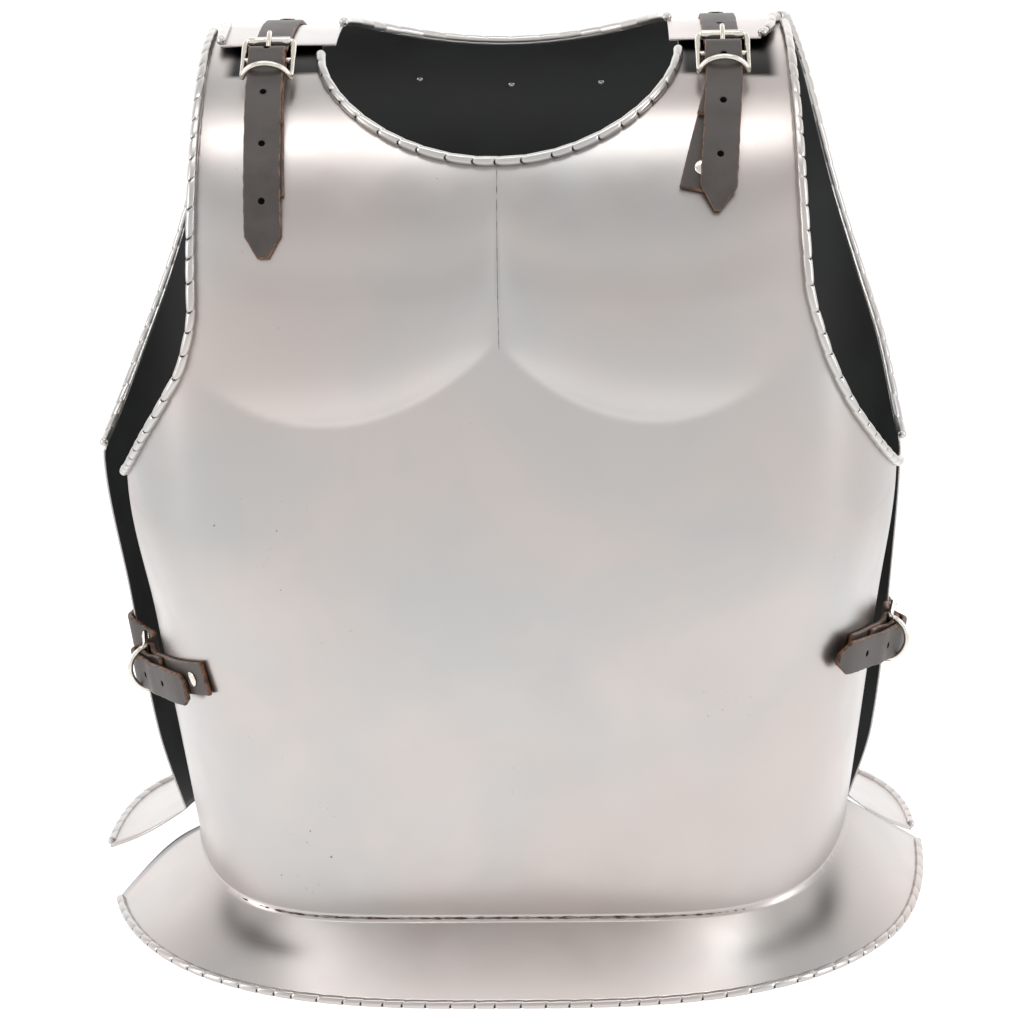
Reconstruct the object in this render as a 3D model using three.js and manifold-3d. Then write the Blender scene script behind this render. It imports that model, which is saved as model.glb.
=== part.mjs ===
// A full size steel cuirass: breastplate and backplate, joined by buckled straps at the shoulders and sides.
// Millimetres, +Z up, the front of the chest faces -Y, the skirts stand on the plane z = 0.
import * as THREE from 'three';
import { mergeVertices } from 'three/addons/utils/BufferGeometryUtils.js';
import Module from 'manifold-3d';

const wasm = await Module();
wasm.setup();

// ---------------------------------------------------------------- driving dimensions

const WALL = 1.2;                 // 18 gauge steel sheet
const RIM_RADIUS = 2.8;           // rolled edge round neck, armholes and skirts
const LEATHER = 2.8;              // strap thickness
const STRAP_WIDTH = 20;           // narrow buckle straps
const GAP = 0.3;                  // clearance between touching pieces
const WAIST_Z = 30;               // height of the welded waist seam
const SPRING_Z = 400;             // height where the walls begin to roll over the shoulders
const SPRING = SPRING_Z - WAIST_Z;
const HEM_Z = 1.6;                // middle of the rolled hem, flattened underneath at z = 0

// Each plate is a sheet over the coordinates (u, t). u runs from -1 at one side edge to +1 at the other,
// t is the height above the waist seam, measured along the sheet where it rolls over the shoulders.
// A level section has half widths left and right of the plate's middle; its corners are as square as
// the power flat says, and side says how straight the walls run back from them.
const FRONT = {
  facing: -1,
  middleX: 6,
  sideY: -8,
  depth: 142,
  waistDepth: 121,
  shoulderRise: 125,
  sections: [
    { t: 0, left: 194, right: 199, flat: 5.5, side: 1.6 },
    { t: 60, left: 203, right: 207, flat: 5.2, side: 1.45 },
    { t: 150, left: 216, right: 218, flat: 5.4, side: 1.35 },
    { t: 241, left: 227, right: 228, flat: 7.2, side: 1.55 },
    { t: 370, left: 224, right: 224, flat: 8.0, side: 1.7 },
    { t: 570, left: 208, right: 208, flat: 8.0, side: 1.8 },
  ],
  armholeLeft: [
    { t: 241, x: -221 },
    { t: 261, x: -209 },
    { t: 286, x: -195 },
    { t: 313, x: -179 },
    { t: 338, x: -166 },
    { t: 370, x: -159 },
    { t: 470, x: -158 },
    { t: 575, x: -159 },
  ],
  armholeRight: [
    { t: 241, x: 234 },
    { t: 261, x: 223 },
    { t: 280, x: 212 },
    { t: 310, x: 195 },
    { t: 344, x: 181 },
    { t: 380, x: 172 },
    { t: 450, x: 168.5 },
    { t: 575, x: 166.5 },
  ],
  neck: { x: 6, t: 527, halfWidth: 99.5, drop: 80.5 },
  shoulderEnd: 576,
  rimEnd: 566,
  waistRise: { left: 8, right: 22 },
  hem: { halfWidth: 250, sideY: 10, depth: 193, flat: 3, side: 1.9 },
  skirtEnds: {
    left: { u: 0.87, back: 0, lift: 0, bow: 20 },
    right: { u: 0.99, back: 26, lift: 6, bow: 0 },
  },
  breasts: [
    { x: -90, foot: 333.5, curl: 0.0050, reach: 96 },
    { x: 91, foot: 334.5, curl: 0.0058, reach: 84 },
  ],
};

const BACK = {
  facing: 1,
  middleX: -1,
  sideY: 22,
  depth: 128,
  waistDepth: 96,
  shoulderRise: 127.5,
  sections: [
    { t: 0, left: 202, right: 209, flat: 4.5, side: 1.7 },
    { t: 60, left: 218, right: 227, flat: 4.5, side: 1.8 },
    { t: 150, left: 230, right: 236, flat: 4.5, side: 1.9 },
    { t: 241, left: 241, right: 241, flat: 5.0, side: 1.9 },
    { t: 370, left: 236, right: 238, flat: 6.0, side: 1.9 },
    { t: 570, left: 215, right: 220, flat: 8.0, side: 1.9 },
  ],
  armholeLeft: [
    { t: 241, x: -242 },
    { t: 290, x: -224 },
    { t: 330, x: -209 },
    { t: 380, x: -193 },
    { t: 450, x: -176 },
    { t: 520, x: -160 },
    { t: 568, x: -152 },
    { t: 612, x: -150 },
  ],
  armholeRight: [
    { t: 241, x: 240 },
    { t: 290, x: 231 },
    { t: 330, x: 219 },
    { t: 380, x: 204 },
    { t: 450, x: 187 },
    { t: 520, x: 172 },
    { t: 555, x: 167 },
    { t: 567, x: 160 },
    { t: 590, x: 158 },
    { t: 612, x: 151 },
  ],
  neck: { x: 7.5, t: 560, halfWidth: 93, drop: 68 },
  shoulderEnd: 612,
  rimEnd: 610,
  waistRise: { left: 6, right: 12 },
  hem: { halfWidth: 256, sideY: 48, depth: 143, flat: 6, side: 2.6 },
  skirtEnds: {
    left: { u: 1, back: -6, lift: 0, bow: -8 },
    right: { u: 1, back: 8, lift: 2, bow: -8 },
  },
  breasts: [],
};

const TAB_DROOP = 3;              // how far the backplate's shoulder tabs sink towards their front edge
const TAB_LENGTH = 42;
const BREAST_HEIGHT = 10.5;         // how far the breasts stand out
const BREAST_RISE = 17;           // how soon they do above their foot line
const VALLEY_FOOT = 12;            // half width of the valley between them, at its foot
const VALLEY_TOP = 24;

// ---------------------------------------------------------------- curves and tables

const clamp = (value, low, high) => Math.min(high, Math.max(low, value));
const mix = (a, b, k) => a + (b - a) * k;
const easeInOut = (k) => k * k * (3 - 2 * k);

// Value of a table's column at a position between its rows, along a curve that never overshoots them.
function tableValue(rows, key, column, position) {
  const last = rows.length - 1;
  const at = clamp(position, rows[0][key], rows[last][key]);
  const slopes = [];
  for (let i = 0; i < last; i += 1) {
    slopes.push((rows[i + 1][column] - rows[i][column]) / (rows[i + 1][key] - rows[i][key]));
  }
  const tangent = (i) => {
    if (i === 0 || i === last) {
      return slopes[Math.min(i, last - 1)];
    }
    const product = slopes[i - 1] * slopes[i];
    return product > 0 ? (2 * product) / (slopes[i - 1] + slopes[i]) : 0;
  };
  let i = 0;
  while (i < last - 1 && rows[i + 1][key] < at) {
    i += 1;
  }
  const span = rows[i + 1][key] - rows[i][key];
  const s = (at - rows[i][key]) / span;
  const start = (1 + 2 * s) * (1 - s) * (1 - s) * rows[i][column] + s * (1 - s) * (1 - s) * span * tangent(i);
  const end = s * s * (3 - 2 * s) * rows[i + 1][column] - s * s * (1 - s) * span * tangent(i + 1);
  return start + end;
}

// ---------------------------------------------------------------- the two plates' form

// How far a breast stands out at a point: it swells quickly above its curled foot line, fades towards
// the neck and the armhole, and falls away into the valley of the centre seam.
function breastSwell(plate, x, z) {
  if (plate.breasts.length === 0) {
    return 0;
  }
  const breast = x < plate.middleX ? plate.breasts[0] : plate.breasts[1];
  const across = x - breast.x;
  const above = Math.max(z - breast.foot - breast.curl * across * across, 0);
  const rise = 1 - Math.exp(-above / BREAST_RISE);
  const fade = 1 - easeInOut(clamp((above - 25) / 130, 0, 1));
  const outer = across * (breast.x - plate.middleX) > 0 ? Math.min(Math.abs(across) / breast.reach, 1) : 0;
  const side = 0.5 + 0.5 * Math.cos(Math.PI * outer);
  const halfWidth = mix(VALLEY_FOOT, VALLEY_TOP, clamp(above / 90, 0, 1));
  const valley = 1 - Math.exp(-Math.abs(x - plate.middleX) / halfWidth);
  return BREAST_HEIGHT * rise * fade * side * valley;
}

// A point of the plate's outer face.
function platePoint(plate, u, t) {
  const across = Math.sin((Math.PI / 2) * u);
  const half = tableValue(plate.sections, 't', u < 0 ? 'left' : 'right', t);
  const flat = tableValue(plate.sections, 't', 'flat', t);
  const side = tableValue(plate.sections, 't', 'side', t);
  const wallDepth = (1 - Math.abs(across) ** flat) ** (1 / side);
  const x = plate.middleX + across * half;
  if (t > SPRING) {
    const turn = (t - SPRING) / plate.shoulderRise;
    const crest = Math.min(turn, Math.PI / 2);
    const past = plate.shoulderRise * (turn - crest);
    const z = SPRING_Z + plate.shoulderRise * Math.sin(crest) - TAB_DROOP * (past / TAB_LENGTH) ** 2;
    const y = (plate.sideY * plate.facing + plate.depth * wallDepth) * Math.cos(crest) - past;
    return new THREE.Vector3(x, plate.facing * (y + breastSwell(plate, x, z)), z);
  }
  const below = (SPRING - t) / SPRING;
  const z = WAIST_Z + t;
  const depth = plate.depth - (plate.depth - plate.waistDepth) * below * below;
  const y = plate.sideY * plate.facing + depth * wallDepth + breastSwell(plate, x, z);
  return new THREE.Vector3(x, plate.facing * y, z);
}

// The u of the point at height t whose x is given.
function uAtX(plate, x, t) {
  const half = tableValue(plate.sections, 't', x < plate.middleX ? 'left' : 'right', t);
  return Math.asin(clamp((x - plate.middleX) / half, -1, 1)) / (Math.PI / 2);
}

// ---------------------------------------------------------------- outlines, as (u, t) of a share 0 to 1

const NECK_CORNER = (40 * Math.PI) / 180;   // where the shoulder's part of the neckline begins
const ARMHOLE_SPLIT = 480;                  // height t on the armhole opposite that corner

const sideName = (hand) => (hand < 0 ? 'Left' : 'Right');

function waistEdge(plate, hand, k) {
  const rise = hand < 0 ? plate.waistRise.left : plate.waistRise.right;
  return [hand * k, rise * k ** 4];
}

function centreLine(plate, k) {
  const [neckU, neckT] = necklineAt(plate, 1, Math.PI / 2);
  return [neckU * k, neckT * k];
}

function armhole(plate, hand, fromT, toT, k) {
  const t = mix(fromT, toT, k);
  const x = tableValue(plate[`armhole${sideName(hand)}`], 't', 'x', t);
  return [uAtX(plate, x, t), t];
}

// Up the side edge, and on round the armhole, to the height opposite the neck corner.
function outerEdge(plate, hand, k) {
  const armpit = plate[`armhole${sideName(hand)}`][0].t;
  const share = armpit / ARMHOLE_SPLIT;
  if (k < share) {
    const foot = hand < 0 ? plate.waistRise.left : plate.waistRise.right;
    return [hand, mix(foot, armpit, k / share)];
  }
  return armhole(plate, hand, armpit, ARMHOLE_SPLIT, (k - share) / (1 - share));
}

// The neckline is half an ellipse on the sheet; angle 0 is its end at the shoulder, 90 degrees its lowest point.
function necklineAt(plate, hand, angle) {
  const t = plate.neck.t - plate.neck.drop * Math.sin(angle);
  const x = plate.neck.x + hand * plate.neck.halfWidth * Math.cos(angle);
  return [uAtX(plate, x, t), t];
}

// The top of the body patch: the low part of the neckline, then across to the armhole.
function bodyTop(plate, hand, neckShare, k) {
  if (k < neckShare) {
    return necklineAt(plate, hand, mix(Math.PI / 2, NECK_CORNER, k / neckShare));
  }
  const [neckU, neckT] = necklineAt(plate, hand, NECK_CORNER);
  const [armU, armT] = armhole(plate, hand, ARMHOLE_SPLIT, ARMHOLE_SPLIT, 0);
  const s = (k - neckShare) / (1 - neckShare);
  return [mix(neckU, armU, s), mix(neckT, armT, s)];
}

// The inner side of the shoulder: the upper neckline, then straight on over the shoulder.
function shoulderInner(plate, hand, k) {
  const neckShare = 0.5;
  if (k < neckShare) {
    return necklineAt(plate, hand, mix(NECK_CORNER, 0, k / neckShare));
  }
  const t = mix(plate.neck.t, plate.shoulderEnd, (k - neckShare) / (1 - neckShare));
  return [uAtX(plate, plate.neck.x + hand * plate.neck.halfWidth, t), t];
}

// ---------------------------------------------------------------- sheets

// A grid of (u, t) pairs between four edges, blended so that every edge is met exactly.
function patchGrid(columns, rows, edges) {
  const corner = (edge, k) => edge(k);
  const grid = [];
  for (let j = 0; j <= rows; j += 1) {
    const s = j / rows;
    const row = [];
    for (let i = 0; i <= columns; i += 1) {
      const r = i / columns;
      const left = edges.left(s);
      const right = edges.right(s);
      const bottom = edges.bottom(r);
      const top = edges.top(r);
      const value = (n) => {
        const sides = mix(left[n], right[n], r) + mix(bottom[n], top[n], s);
        const lower = mix(corner(edges.bottom, 0)[n], corner(edges.bottom, 1)[n], r);
        const upper = mix(corner(edges.top, 0)[n], corner(edges.top, 1)[n], r);
        return sides - mix(lower, upper, s);
      };
      row.push([value(0), value(1)]);
    }
    grid.push(row);
  }
  return grid;
}

// The skirt runs from the waist seam (v = 0) out and down to the hem (v = 1).
function skirtPoint(plate, u, v) {
  const hand = u < 0 ? -1 : 1;
  const [, seamT] = waistEdge(plate, hand, Math.abs(u));
  const seam = platePoint(plate, u, seamT);
  const { hem } = plate;
  const end = hand < 0 ? plate.skirtEnds.left : plate.skirtEnds.right;
  const across = Math.sin((Math.PI / 2) * u * end.u);
  const reach = (1 - Math.abs(across) ** hem.flat) ** (1 / hem.side);
  const nearEnd = clamp((Math.abs(u) - 0.7) / 0.3, 0, 1) ** 2;
  const x = plate.middleX + across * hem.halfWidth;
  const y = plate.facing * hem.depth * reach + hem.sideY + end.back * nearEnd;
  const hemPoint = new THREE.Vector3(x, y, HEM_Z + end.lift * nearEnd);
  const point = seam.lerp(hemPoint, v);
  point.y += end.bow * Math.sin(Math.PI * v) * nearEnd;
  return point;
}

// Faces of the outer side of a plate, as one merged mesh.
function plateFace(plate, detail) {
  const positions = [];
  const indices = [];
  const addPatch = (grid, pointAt, flip) => {
    const base = positions.length / 3;
    const width = grid[0].length;
    for (const row of grid) {
      for (const [u, t] of row) {
        positions.push(...pointAt(u, t).toArray());
      }
    }
    for (let j = 0; j < grid.length - 1; j += 1) {
      for (let i = 0; i < width - 1; i += 1) {
        const a = base + j * width + i;
        const quad = [a, a + 1, a + 1 + width, a + width];
        const order = flip ? [0, 2, 1, 0, 3, 2] : [0, 1, 2, 0, 2, 3];
        indices.push(...order.map((n) => quad[n]));
      }
    }
  };
  for (const hand of [-1, 1]) {
    const flip = (hand * plate.facing) > 0;
    const shoulderColumns = detail.across - detail.neck;
    const neckShare = detail.neck / detail.across;
    const body = patchGrid(detail.across, detail.up, {
      left: (k) => centreLine(plate, k),
      right: (k) => outerEdge(plate, hand, k),
      bottom: (k) => waistEdge(plate, hand, k),
      top: (k) => bodyTop(plate, hand, neckShare, k),
    });
    addPatch(body, (u, t) => platePoint(plate, u, t), flip);
    const shoulder = patchGrid(shoulderColumns, detail.shoulder, {
      left: (k) => shoulderInner(plate, hand, k),
      right: (k) => armhole(plate, hand, ARMHOLE_SPLIT, plate.shoulderEnd, k),
      bottom: (k) => bodyTop(plate, hand, neckShare, mix(neckShare, 1, k)),
      top: (k) => {
        const [innerU] = shoulderInner(plate, hand, 1);
        const [outerU] = armhole(plate, hand, plate.shoulderEnd, plate.shoulderEnd, 0);
        return [mix(innerU, outerU, k), plate.shoulderEnd];
      },
    });
    addPatch(shoulder, (u, t) => platePoint(plate, u, t), flip);
    const skirt = patchGrid(detail.across, detail.skirt, {
      left: (k) => [0, k],
      right: (k) => [hand, k],
      bottom: (k) => [hand * k, 0],
      top: (k) => [hand * k, 1],
    });
    addPatch(skirt, (u, v) => skirtPoint(plate, u, v), !flip);
  }
  const raw = new THREE.BufferGeometry();
  raw.setAttribute('position', new THREE.Float32BufferAttribute(positions, 3));
  raw.setIndex(indices);
  const merged = mergeVertices(raw, 0.02);
  merged.computeVertexNormals();
  return merged;
}

// A closed wall: the face, its copy moved inwards by the thickness, and a strip along every open edge.
function thicken(face, thickness) {
  const outer = face.getAttribute('position').array;
  const normals = face.getAttribute('normal').array;
  const count = outer.length / 3;
  const positions = [...outer];
  for (let i = 0; i < outer.length; i += 1) {
    positions.push(outer[i] - normals[i] * thickness);
  }
  const triangles = face.getIndex().array;
  const indices = [];
  const edges = new Map();
  for (let i = 0; i < triangles.length; i += 3) {
    const [a, b, c] = [triangles[i], triangles[i + 1], triangles[i + 2]];
    indices.push(a, b, c, a + count, c + count, b + count);
    for (const [from, to] of [[a, b], [b, c], [c, a]]) {
      if (!edges.delete(`${to} ${from}`)) {
        edges.set(`${from} ${to}`, [from, to]);
      }
    }
  }
  for (const [from, to] of edges.values()) {
    indices.push(from, from + count, to, to, from + count, to + count);
  }
  const wall = new THREE.BufferGeometry();
  wall.setAttribute('position', new THREE.Float32BufferAttribute(positions, 3));
  wall.setIndex(indices);
  return wall;
}

// ---------------------------------------------------------------- solids

// A closed mesh as a solid that can be joined and cut.
function solidOf(geometry) {
  const bare = geometry.clone();
  bare.deleteAttribute('normal');
  bare.deleteAttribute('uv');
  const merged = mergeVertices(bare, 1e-4);
  return new wasm.Manifold(new wasm.Mesh({
    numProp: 3,
    vertProperties: new Float32Array(merged.getAttribute('position').array),
    triVerts: new Uint32Array(merged.getIndex().array),
  }));
}

function geometryOf(solid) {
  const { vertProperties, triVerts } = solid.getMesh();
  const geometry = new THREE.BufferGeometry();
  geometry.setAttribute('position', new THREE.Float32BufferAttribute(vertProperties, 3));
  geometry.setIndex(Array.from(triVerts));
  return geometry;
}

// A round bar along a smooth line through the points.
function bar(points, radius, steps, closed = false, sides = 8) {
  const section = new THREE.Shape();
  for (let i = 0; i < sides; i += 1) {
    const angle = (2 * Math.PI * i) / sides;
    const corner = [radius * Math.cos(angle), radius * Math.sin(angle)];
    if (i === 0) {
      section.moveTo(...corner);
    } else {
      section.lineTo(...corner);
    }
  }
  section.closePath();
  const path = new THREE.CatmullRomCurve3(points, closed, 'centripetal');
  return new THREE.ExtrudeGeometry(section, { steps, extrudePath: path, bevelEnabled: false });
}

// The outward normal of a plate's face.
function plateNormal(plate, u, t) {
  const step = 0.5;
  const along = platePoint(plate, u, t + step).sub(platePoint(plate, u, t - step));
  const across = platePoint(plate, u + step / 100, t).sub(platePoint(plate, u - step / 100, t));
  return across.cross(along).multiplyScalar(-plate.facing).normalize();
}

// The lines that the rolled edges follow: neckline, both armholes and the hem.
function rimLines(plate) {
  const sample = (count, at) => Array.from({ length: count + 1 }, (_, i) => at(i / count));
  const onPlate = ([u, t]) => (
    platePoint(plate, u, t).addScaledVector(plateNormal(plate, u, t), RIM_RADIUS - WALL));
  const neck = sample(28, (k) => onPlate(necklineAt(plate, k < 0.5 ? -1 : 1, Math.PI * Math.min(k, 1 - k))));
  const lines = [neck];
  for (const hand of [-1, 1]) {
    const from = plate[`armhole${sideName(hand)}`][0].t + 1;
    lines.push(sample(18, (k) => onPlate(armhole(plate, hand, from, plate.rimEnd, k))));
  }
  lines.push(sample(30, (k) => skirtPoint(plate, mix(-0.995, 0.995, k), 1)));
  return lines;
}

// A whole plate: wall, rolled rims, and a flat cut underneath so that it stands on its hem.
function plateSolid(plate, detail) {
  let solid = solidOf(thicken(plateFace(plate, detail), WALL));
  for (const line of rimLines(plate)) {
    solid = solid.add(solidOf(bar(line, RIM_RADIUS, line.length, false, 6)));
  }
  const under = new THREE.BoxGeometry(700, 700, 40);
  under.translate(0, 0, -20);
  return solid.subtract(solidOf(under));
}

// ---------------------------------------------------------------- buckles and straps

const BUCKLE_WIDTH = 30;          // over the outsides of its wire
const WIRE = 1.6;                 // radius of the buckle's wire
const ROLLER = 2.4;
const END_BAR = -15.7;            // end bar with the roller, measured from the centre bar
const BOW_BAR = 15.3;             // far end, bowed outwards over the strap
const BOW_HEIGHT = 11.5;
const BAR_LIFT = 9.8;             // height of the centre bar over the breastplate
const TONGUE_WIDTH = 3.2;
const HALF_LEATHER = LEATHER / 2;
const FOLD = WIRE + 2 * GAP + HALF_LEATHER;

// Heights over the breastplate of the straps' middle layers, by distance in front of the centre bar.
const UPPER_CHAPE = [
  { along: 8, lift: 12.2 },
  { along: 17, lift: 9.4 },
  { along: 26, lift: 6.6 },
  { along: 34, lift: 5.6 },
  { along: 45, lift: 5.5 },
];
const LOWER_CHAPE = [
  { along: 8, lift: 6.1 },
  { along: 17, lift: 4.4 },
  { along: 26, lift: 3.1 },
  { along: 34, lift: 2.4 },
];
const CHAPE_LIFT = 2.2;
const BILLET = [
  { along: 28, lift: 12.4 },
  { along: 40, lift: 11.4 },
  { along: 50, lift: 9.4 },
  { along: 62, lift: 8.2 },
  { along: 74, lift: 7.6 },
  { along: 84, lift: 6.6 },
  { along: 96, lift: 4.4 },
  { along: 110, lift: 2.8 },
  { along: 126, lift: 2.4 },
];
const STRAIGHT = 18;              // a strap only turns aside once it is clear of the buckle
const FOLD_RIVET = 37;
const CHAPE_RIVET_INSET = 13;     // from the chape's end

// Each set: a billet riveted to the backplate, and a buckle on a folded chape riveted to the breastplate.
// Shoulder straps start at x and drift sideways; side straps start at height z and drift up or down.
// Billet and chape reach so far in front of the centre bar.
const SHOULDERS = [
  { name: 'shoulder_left', x: -120.5, billetDrift: 0.02, chapeDrift: 0.045, billetReach: 122, chapeReach: 88 },
  { name: 'shoulder_right', x: 129.2, billetDrift: -0.08, chapeDrift: -0.26, billetReach: 100, chapeReach: 90 },
];
const SIDES = [
  { name: 'side_left', hand: -1, z: 152, billetDrift: 0.16, chapeDrift: 0.255, billetReach: 86, chapeReach: 105,
    backRise: 3 },
  { name: 'side_right', hand: 1, z: 167, billetDrift: 0.17, chapeDrift: 0.2, billetReach: 90, chapeReach: 72,
    backRise: -10 },
];

// A row of points along the sheet, with outward normals and their distances from the first.
function groundLine(plate, count, at) {
  const line = [];
  for (let i = 0; i <= count; i += 1) {
    const [u, t] = at(i / count);
    const point = platePoint(plate, u, t);
    const previous = line[i - 1];
    const along = previous ? previous.along + point.distanceTo(previous.point) : 0;
    line.push({ along, point, normal: plateNormal(plate, u, t) });
  }
  return line;
}

// A place over the ground line: so far along it, and lifted off the sheet.
function over(ground, along, lift) {
  let i = 1;
  while (i < ground.length - 1 && ground[i].along < along) {
    i += 1;
  }
  const [from, to] = [ground[i - 1], ground[i]];
  const k = (along - from.along) / (to.along - from.along);
  const normal = from.normal.clone().lerp(to.normal, k).normalize();
  return from.point.clone().lerp(to.point, k).addScaledVector(normal, lift);
}

// A flat strap along a smooth line; its width lies along one fixed direction.
function strap(points, across, steps, width = STRAP_WIDTH, thickness = LEATHER) {
  const path = new THREE.CatmullRomCurve3(points, false, 'centripetal');
  const positions = [];
  const indices = [];
  for (let i = 0; i <= steps; i += 1) {
    const centre = path.getPointAt(i / steps);
    const tangent = path.getTangentAt(i / steps);
    const thick = tangent.clone().cross(across).normalize();
    for (const [w, h] of [[-1, -1], [1, -1], [1, 1], [-1, 1]]) {
      const corner = centre.clone().addScaledVector(across, (w * width) / 2);
      positions.push(...corner.addScaledVector(thick, (h * thickness) / 2).toArray());
    }
    if (i > 0) {
      const a = 4 * (i - 1);
      for (let n = 0; n < 4; n += 1) {
        const m = (n + 1) % 4;
        indices.push(a + n, a + 4 + n, a + 4 + m, a + n, a + 4 + m, a + m);
      }
    }
  }
  const z = 4 * steps;
  indices.push(0, 1, 2, 0, 2, 3, z, z + 2, z + 1, z, z + 3, z + 2);
  const geometry = new THREE.BufferGeometry();
  geometry.setAttribute('position', new THREE.Float32BufferAttribute(positions, 3));
  geometry.setIndex(indices);
  const solid = solidOf(geometry);
  return solid.volume() > 0 ? solid : solidOf(turnedOver(geometry));
}

function turnedOver(geometry) {
  const index = Array.from(geometry.getIndex().array);
  for (let i = 0; i < index.length; i += 3) {
    [index[i + 1], index[i + 2]] = [index[i + 2], index[i + 1]];
  }
  geometry.setIndex(index);
  return geometry;
}

// A round pin or disc along a direction, between two heights from a place.
function disc(place, axis, radius, from, to, sides = 16) {
  const geometry = new THREE.CylinderGeometry(radius, radius, to - from, sides);
  geometry.translate(0, (from + to) / 2, 0);
  geometry.applyQuaternion(new THREE.Quaternion().setFromUnitVectors(new THREE.Vector3(0, 1, 0), axis));
  geometry.translate(...place.toArray());
  return solidOf(geometry);
}

// A rivet from a burr under the work to a low head over it.
function rivet(place, axis, bottom, top) {
  return disc(place, axis, 2, bottom - 1.2, top + 1.1, 12)
    .add(disc(place, axis, 3.6, bottom - 1.2, bottom))
    .add(disc(place, axis, 4.5, top, top + 1.2));
}

const rivetHole = (place, axis) => disc(place, axis, 2.3, -8, 12, 12);

// Buckle coordinates: a from the roller towards the bow, b across, c outwards.
function buckleFrame(centre, forward, outward) {
  const across = outward.clone().cross(forward).normalize();
  const frame = new THREE.Matrix4().makeBasis(forward, across, outward).setPosition(centre);
  return { across, at: (a, b, c) => new THREE.Vector3(a, b, c).applyMatrix4(frame), frame };
}

function block(frame, low, high) {
  const geometry = new THREE.BoxGeometry(high[0] - low[0], high[1] - low[1], high[2] - low[2]);
  geometry.translate((low[0] + high[0]) / 2, (low[1] + high[1]) / 2, (low[2] + high[2]) / 2);
  return solidOf(geometry.applyMatrix4(frame));
}

function buckleSolid({ at }) {
  const side = BUCKLE_WIDTH / 2 - WIRE;
  const straight = (from, to, radius) => solidOf(bar([at(...from), at(...to)], radius, 1));
  const bow = [[BOW_BAR, -side, 0], [BOW_BAR, -side, 6.5], [BOW_BAR, 3 - side, 9.3], [BOW_BAR, 0, BOW_HEIGHT],
    [BOW_BAR, side - 3, 9.3], [BOW_BAR, side, 6.5], [BOW_BAR, side, 0]].map((p) => at(...p));
  return straight([END_BAR, -side, 0], [END_BAR, side, 0], WIRE - 0.12)
    .add(straight([0, -side, 0], [0, side, 0], WIRE - 0.12))
    .add(straight([END_BAR - WIRE, -side, 0], [BOW_BAR + WIRE, -side, 0], WIRE))
    .add(straight([END_BAR - WIRE, side, 0], [BOW_BAR + WIRE, side, 0], WIRE))
    .add(solidOf(bar(bow, WIRE - 0.06, 14)));
}

function rollerSolid({ at, across }) {
  const centre = at(END_BAR, 0, 0);
  const length = BUCKLE_WIDTH / 2 - 2 * WIRE - GAP;
  return disc(centre, across, ROLLER, -length, length)
    .subtract(disc(centre, across, WIRE + 0.2, -length - 1, length + 1));
}

function tongueSolid({ at, across }) {
  const half = TONGUE_WIDTH / 2;
  const rise = WIRE + GAP + 1;
  const top = ROLLER + GAP + 1;
  const line = [[1, 0, rise], [-5, 0, rise + 0.1], [END_BAR + 3, 0, top], [END_BAR - 1, 0, top],
    [END_BAR - 4.5, 0, top - 0.6]].map((p) => at(...p));
  const centre = at(0, 0, 0);
  const ring = disc(centre, across, rise + 1, -half, half, 20)
    .subtract(disc(centre, across, WIRE + GAP, -half - 1, half + 1, 20));
  const shank = strap(line, across, 10, TONGUE_WIDTH, 2);
  const inside = disc(centre, across, WIRE + GAP, -half - 1, half + 1, 20);
  return ring.add(shank.subtract(inside));
}

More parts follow.
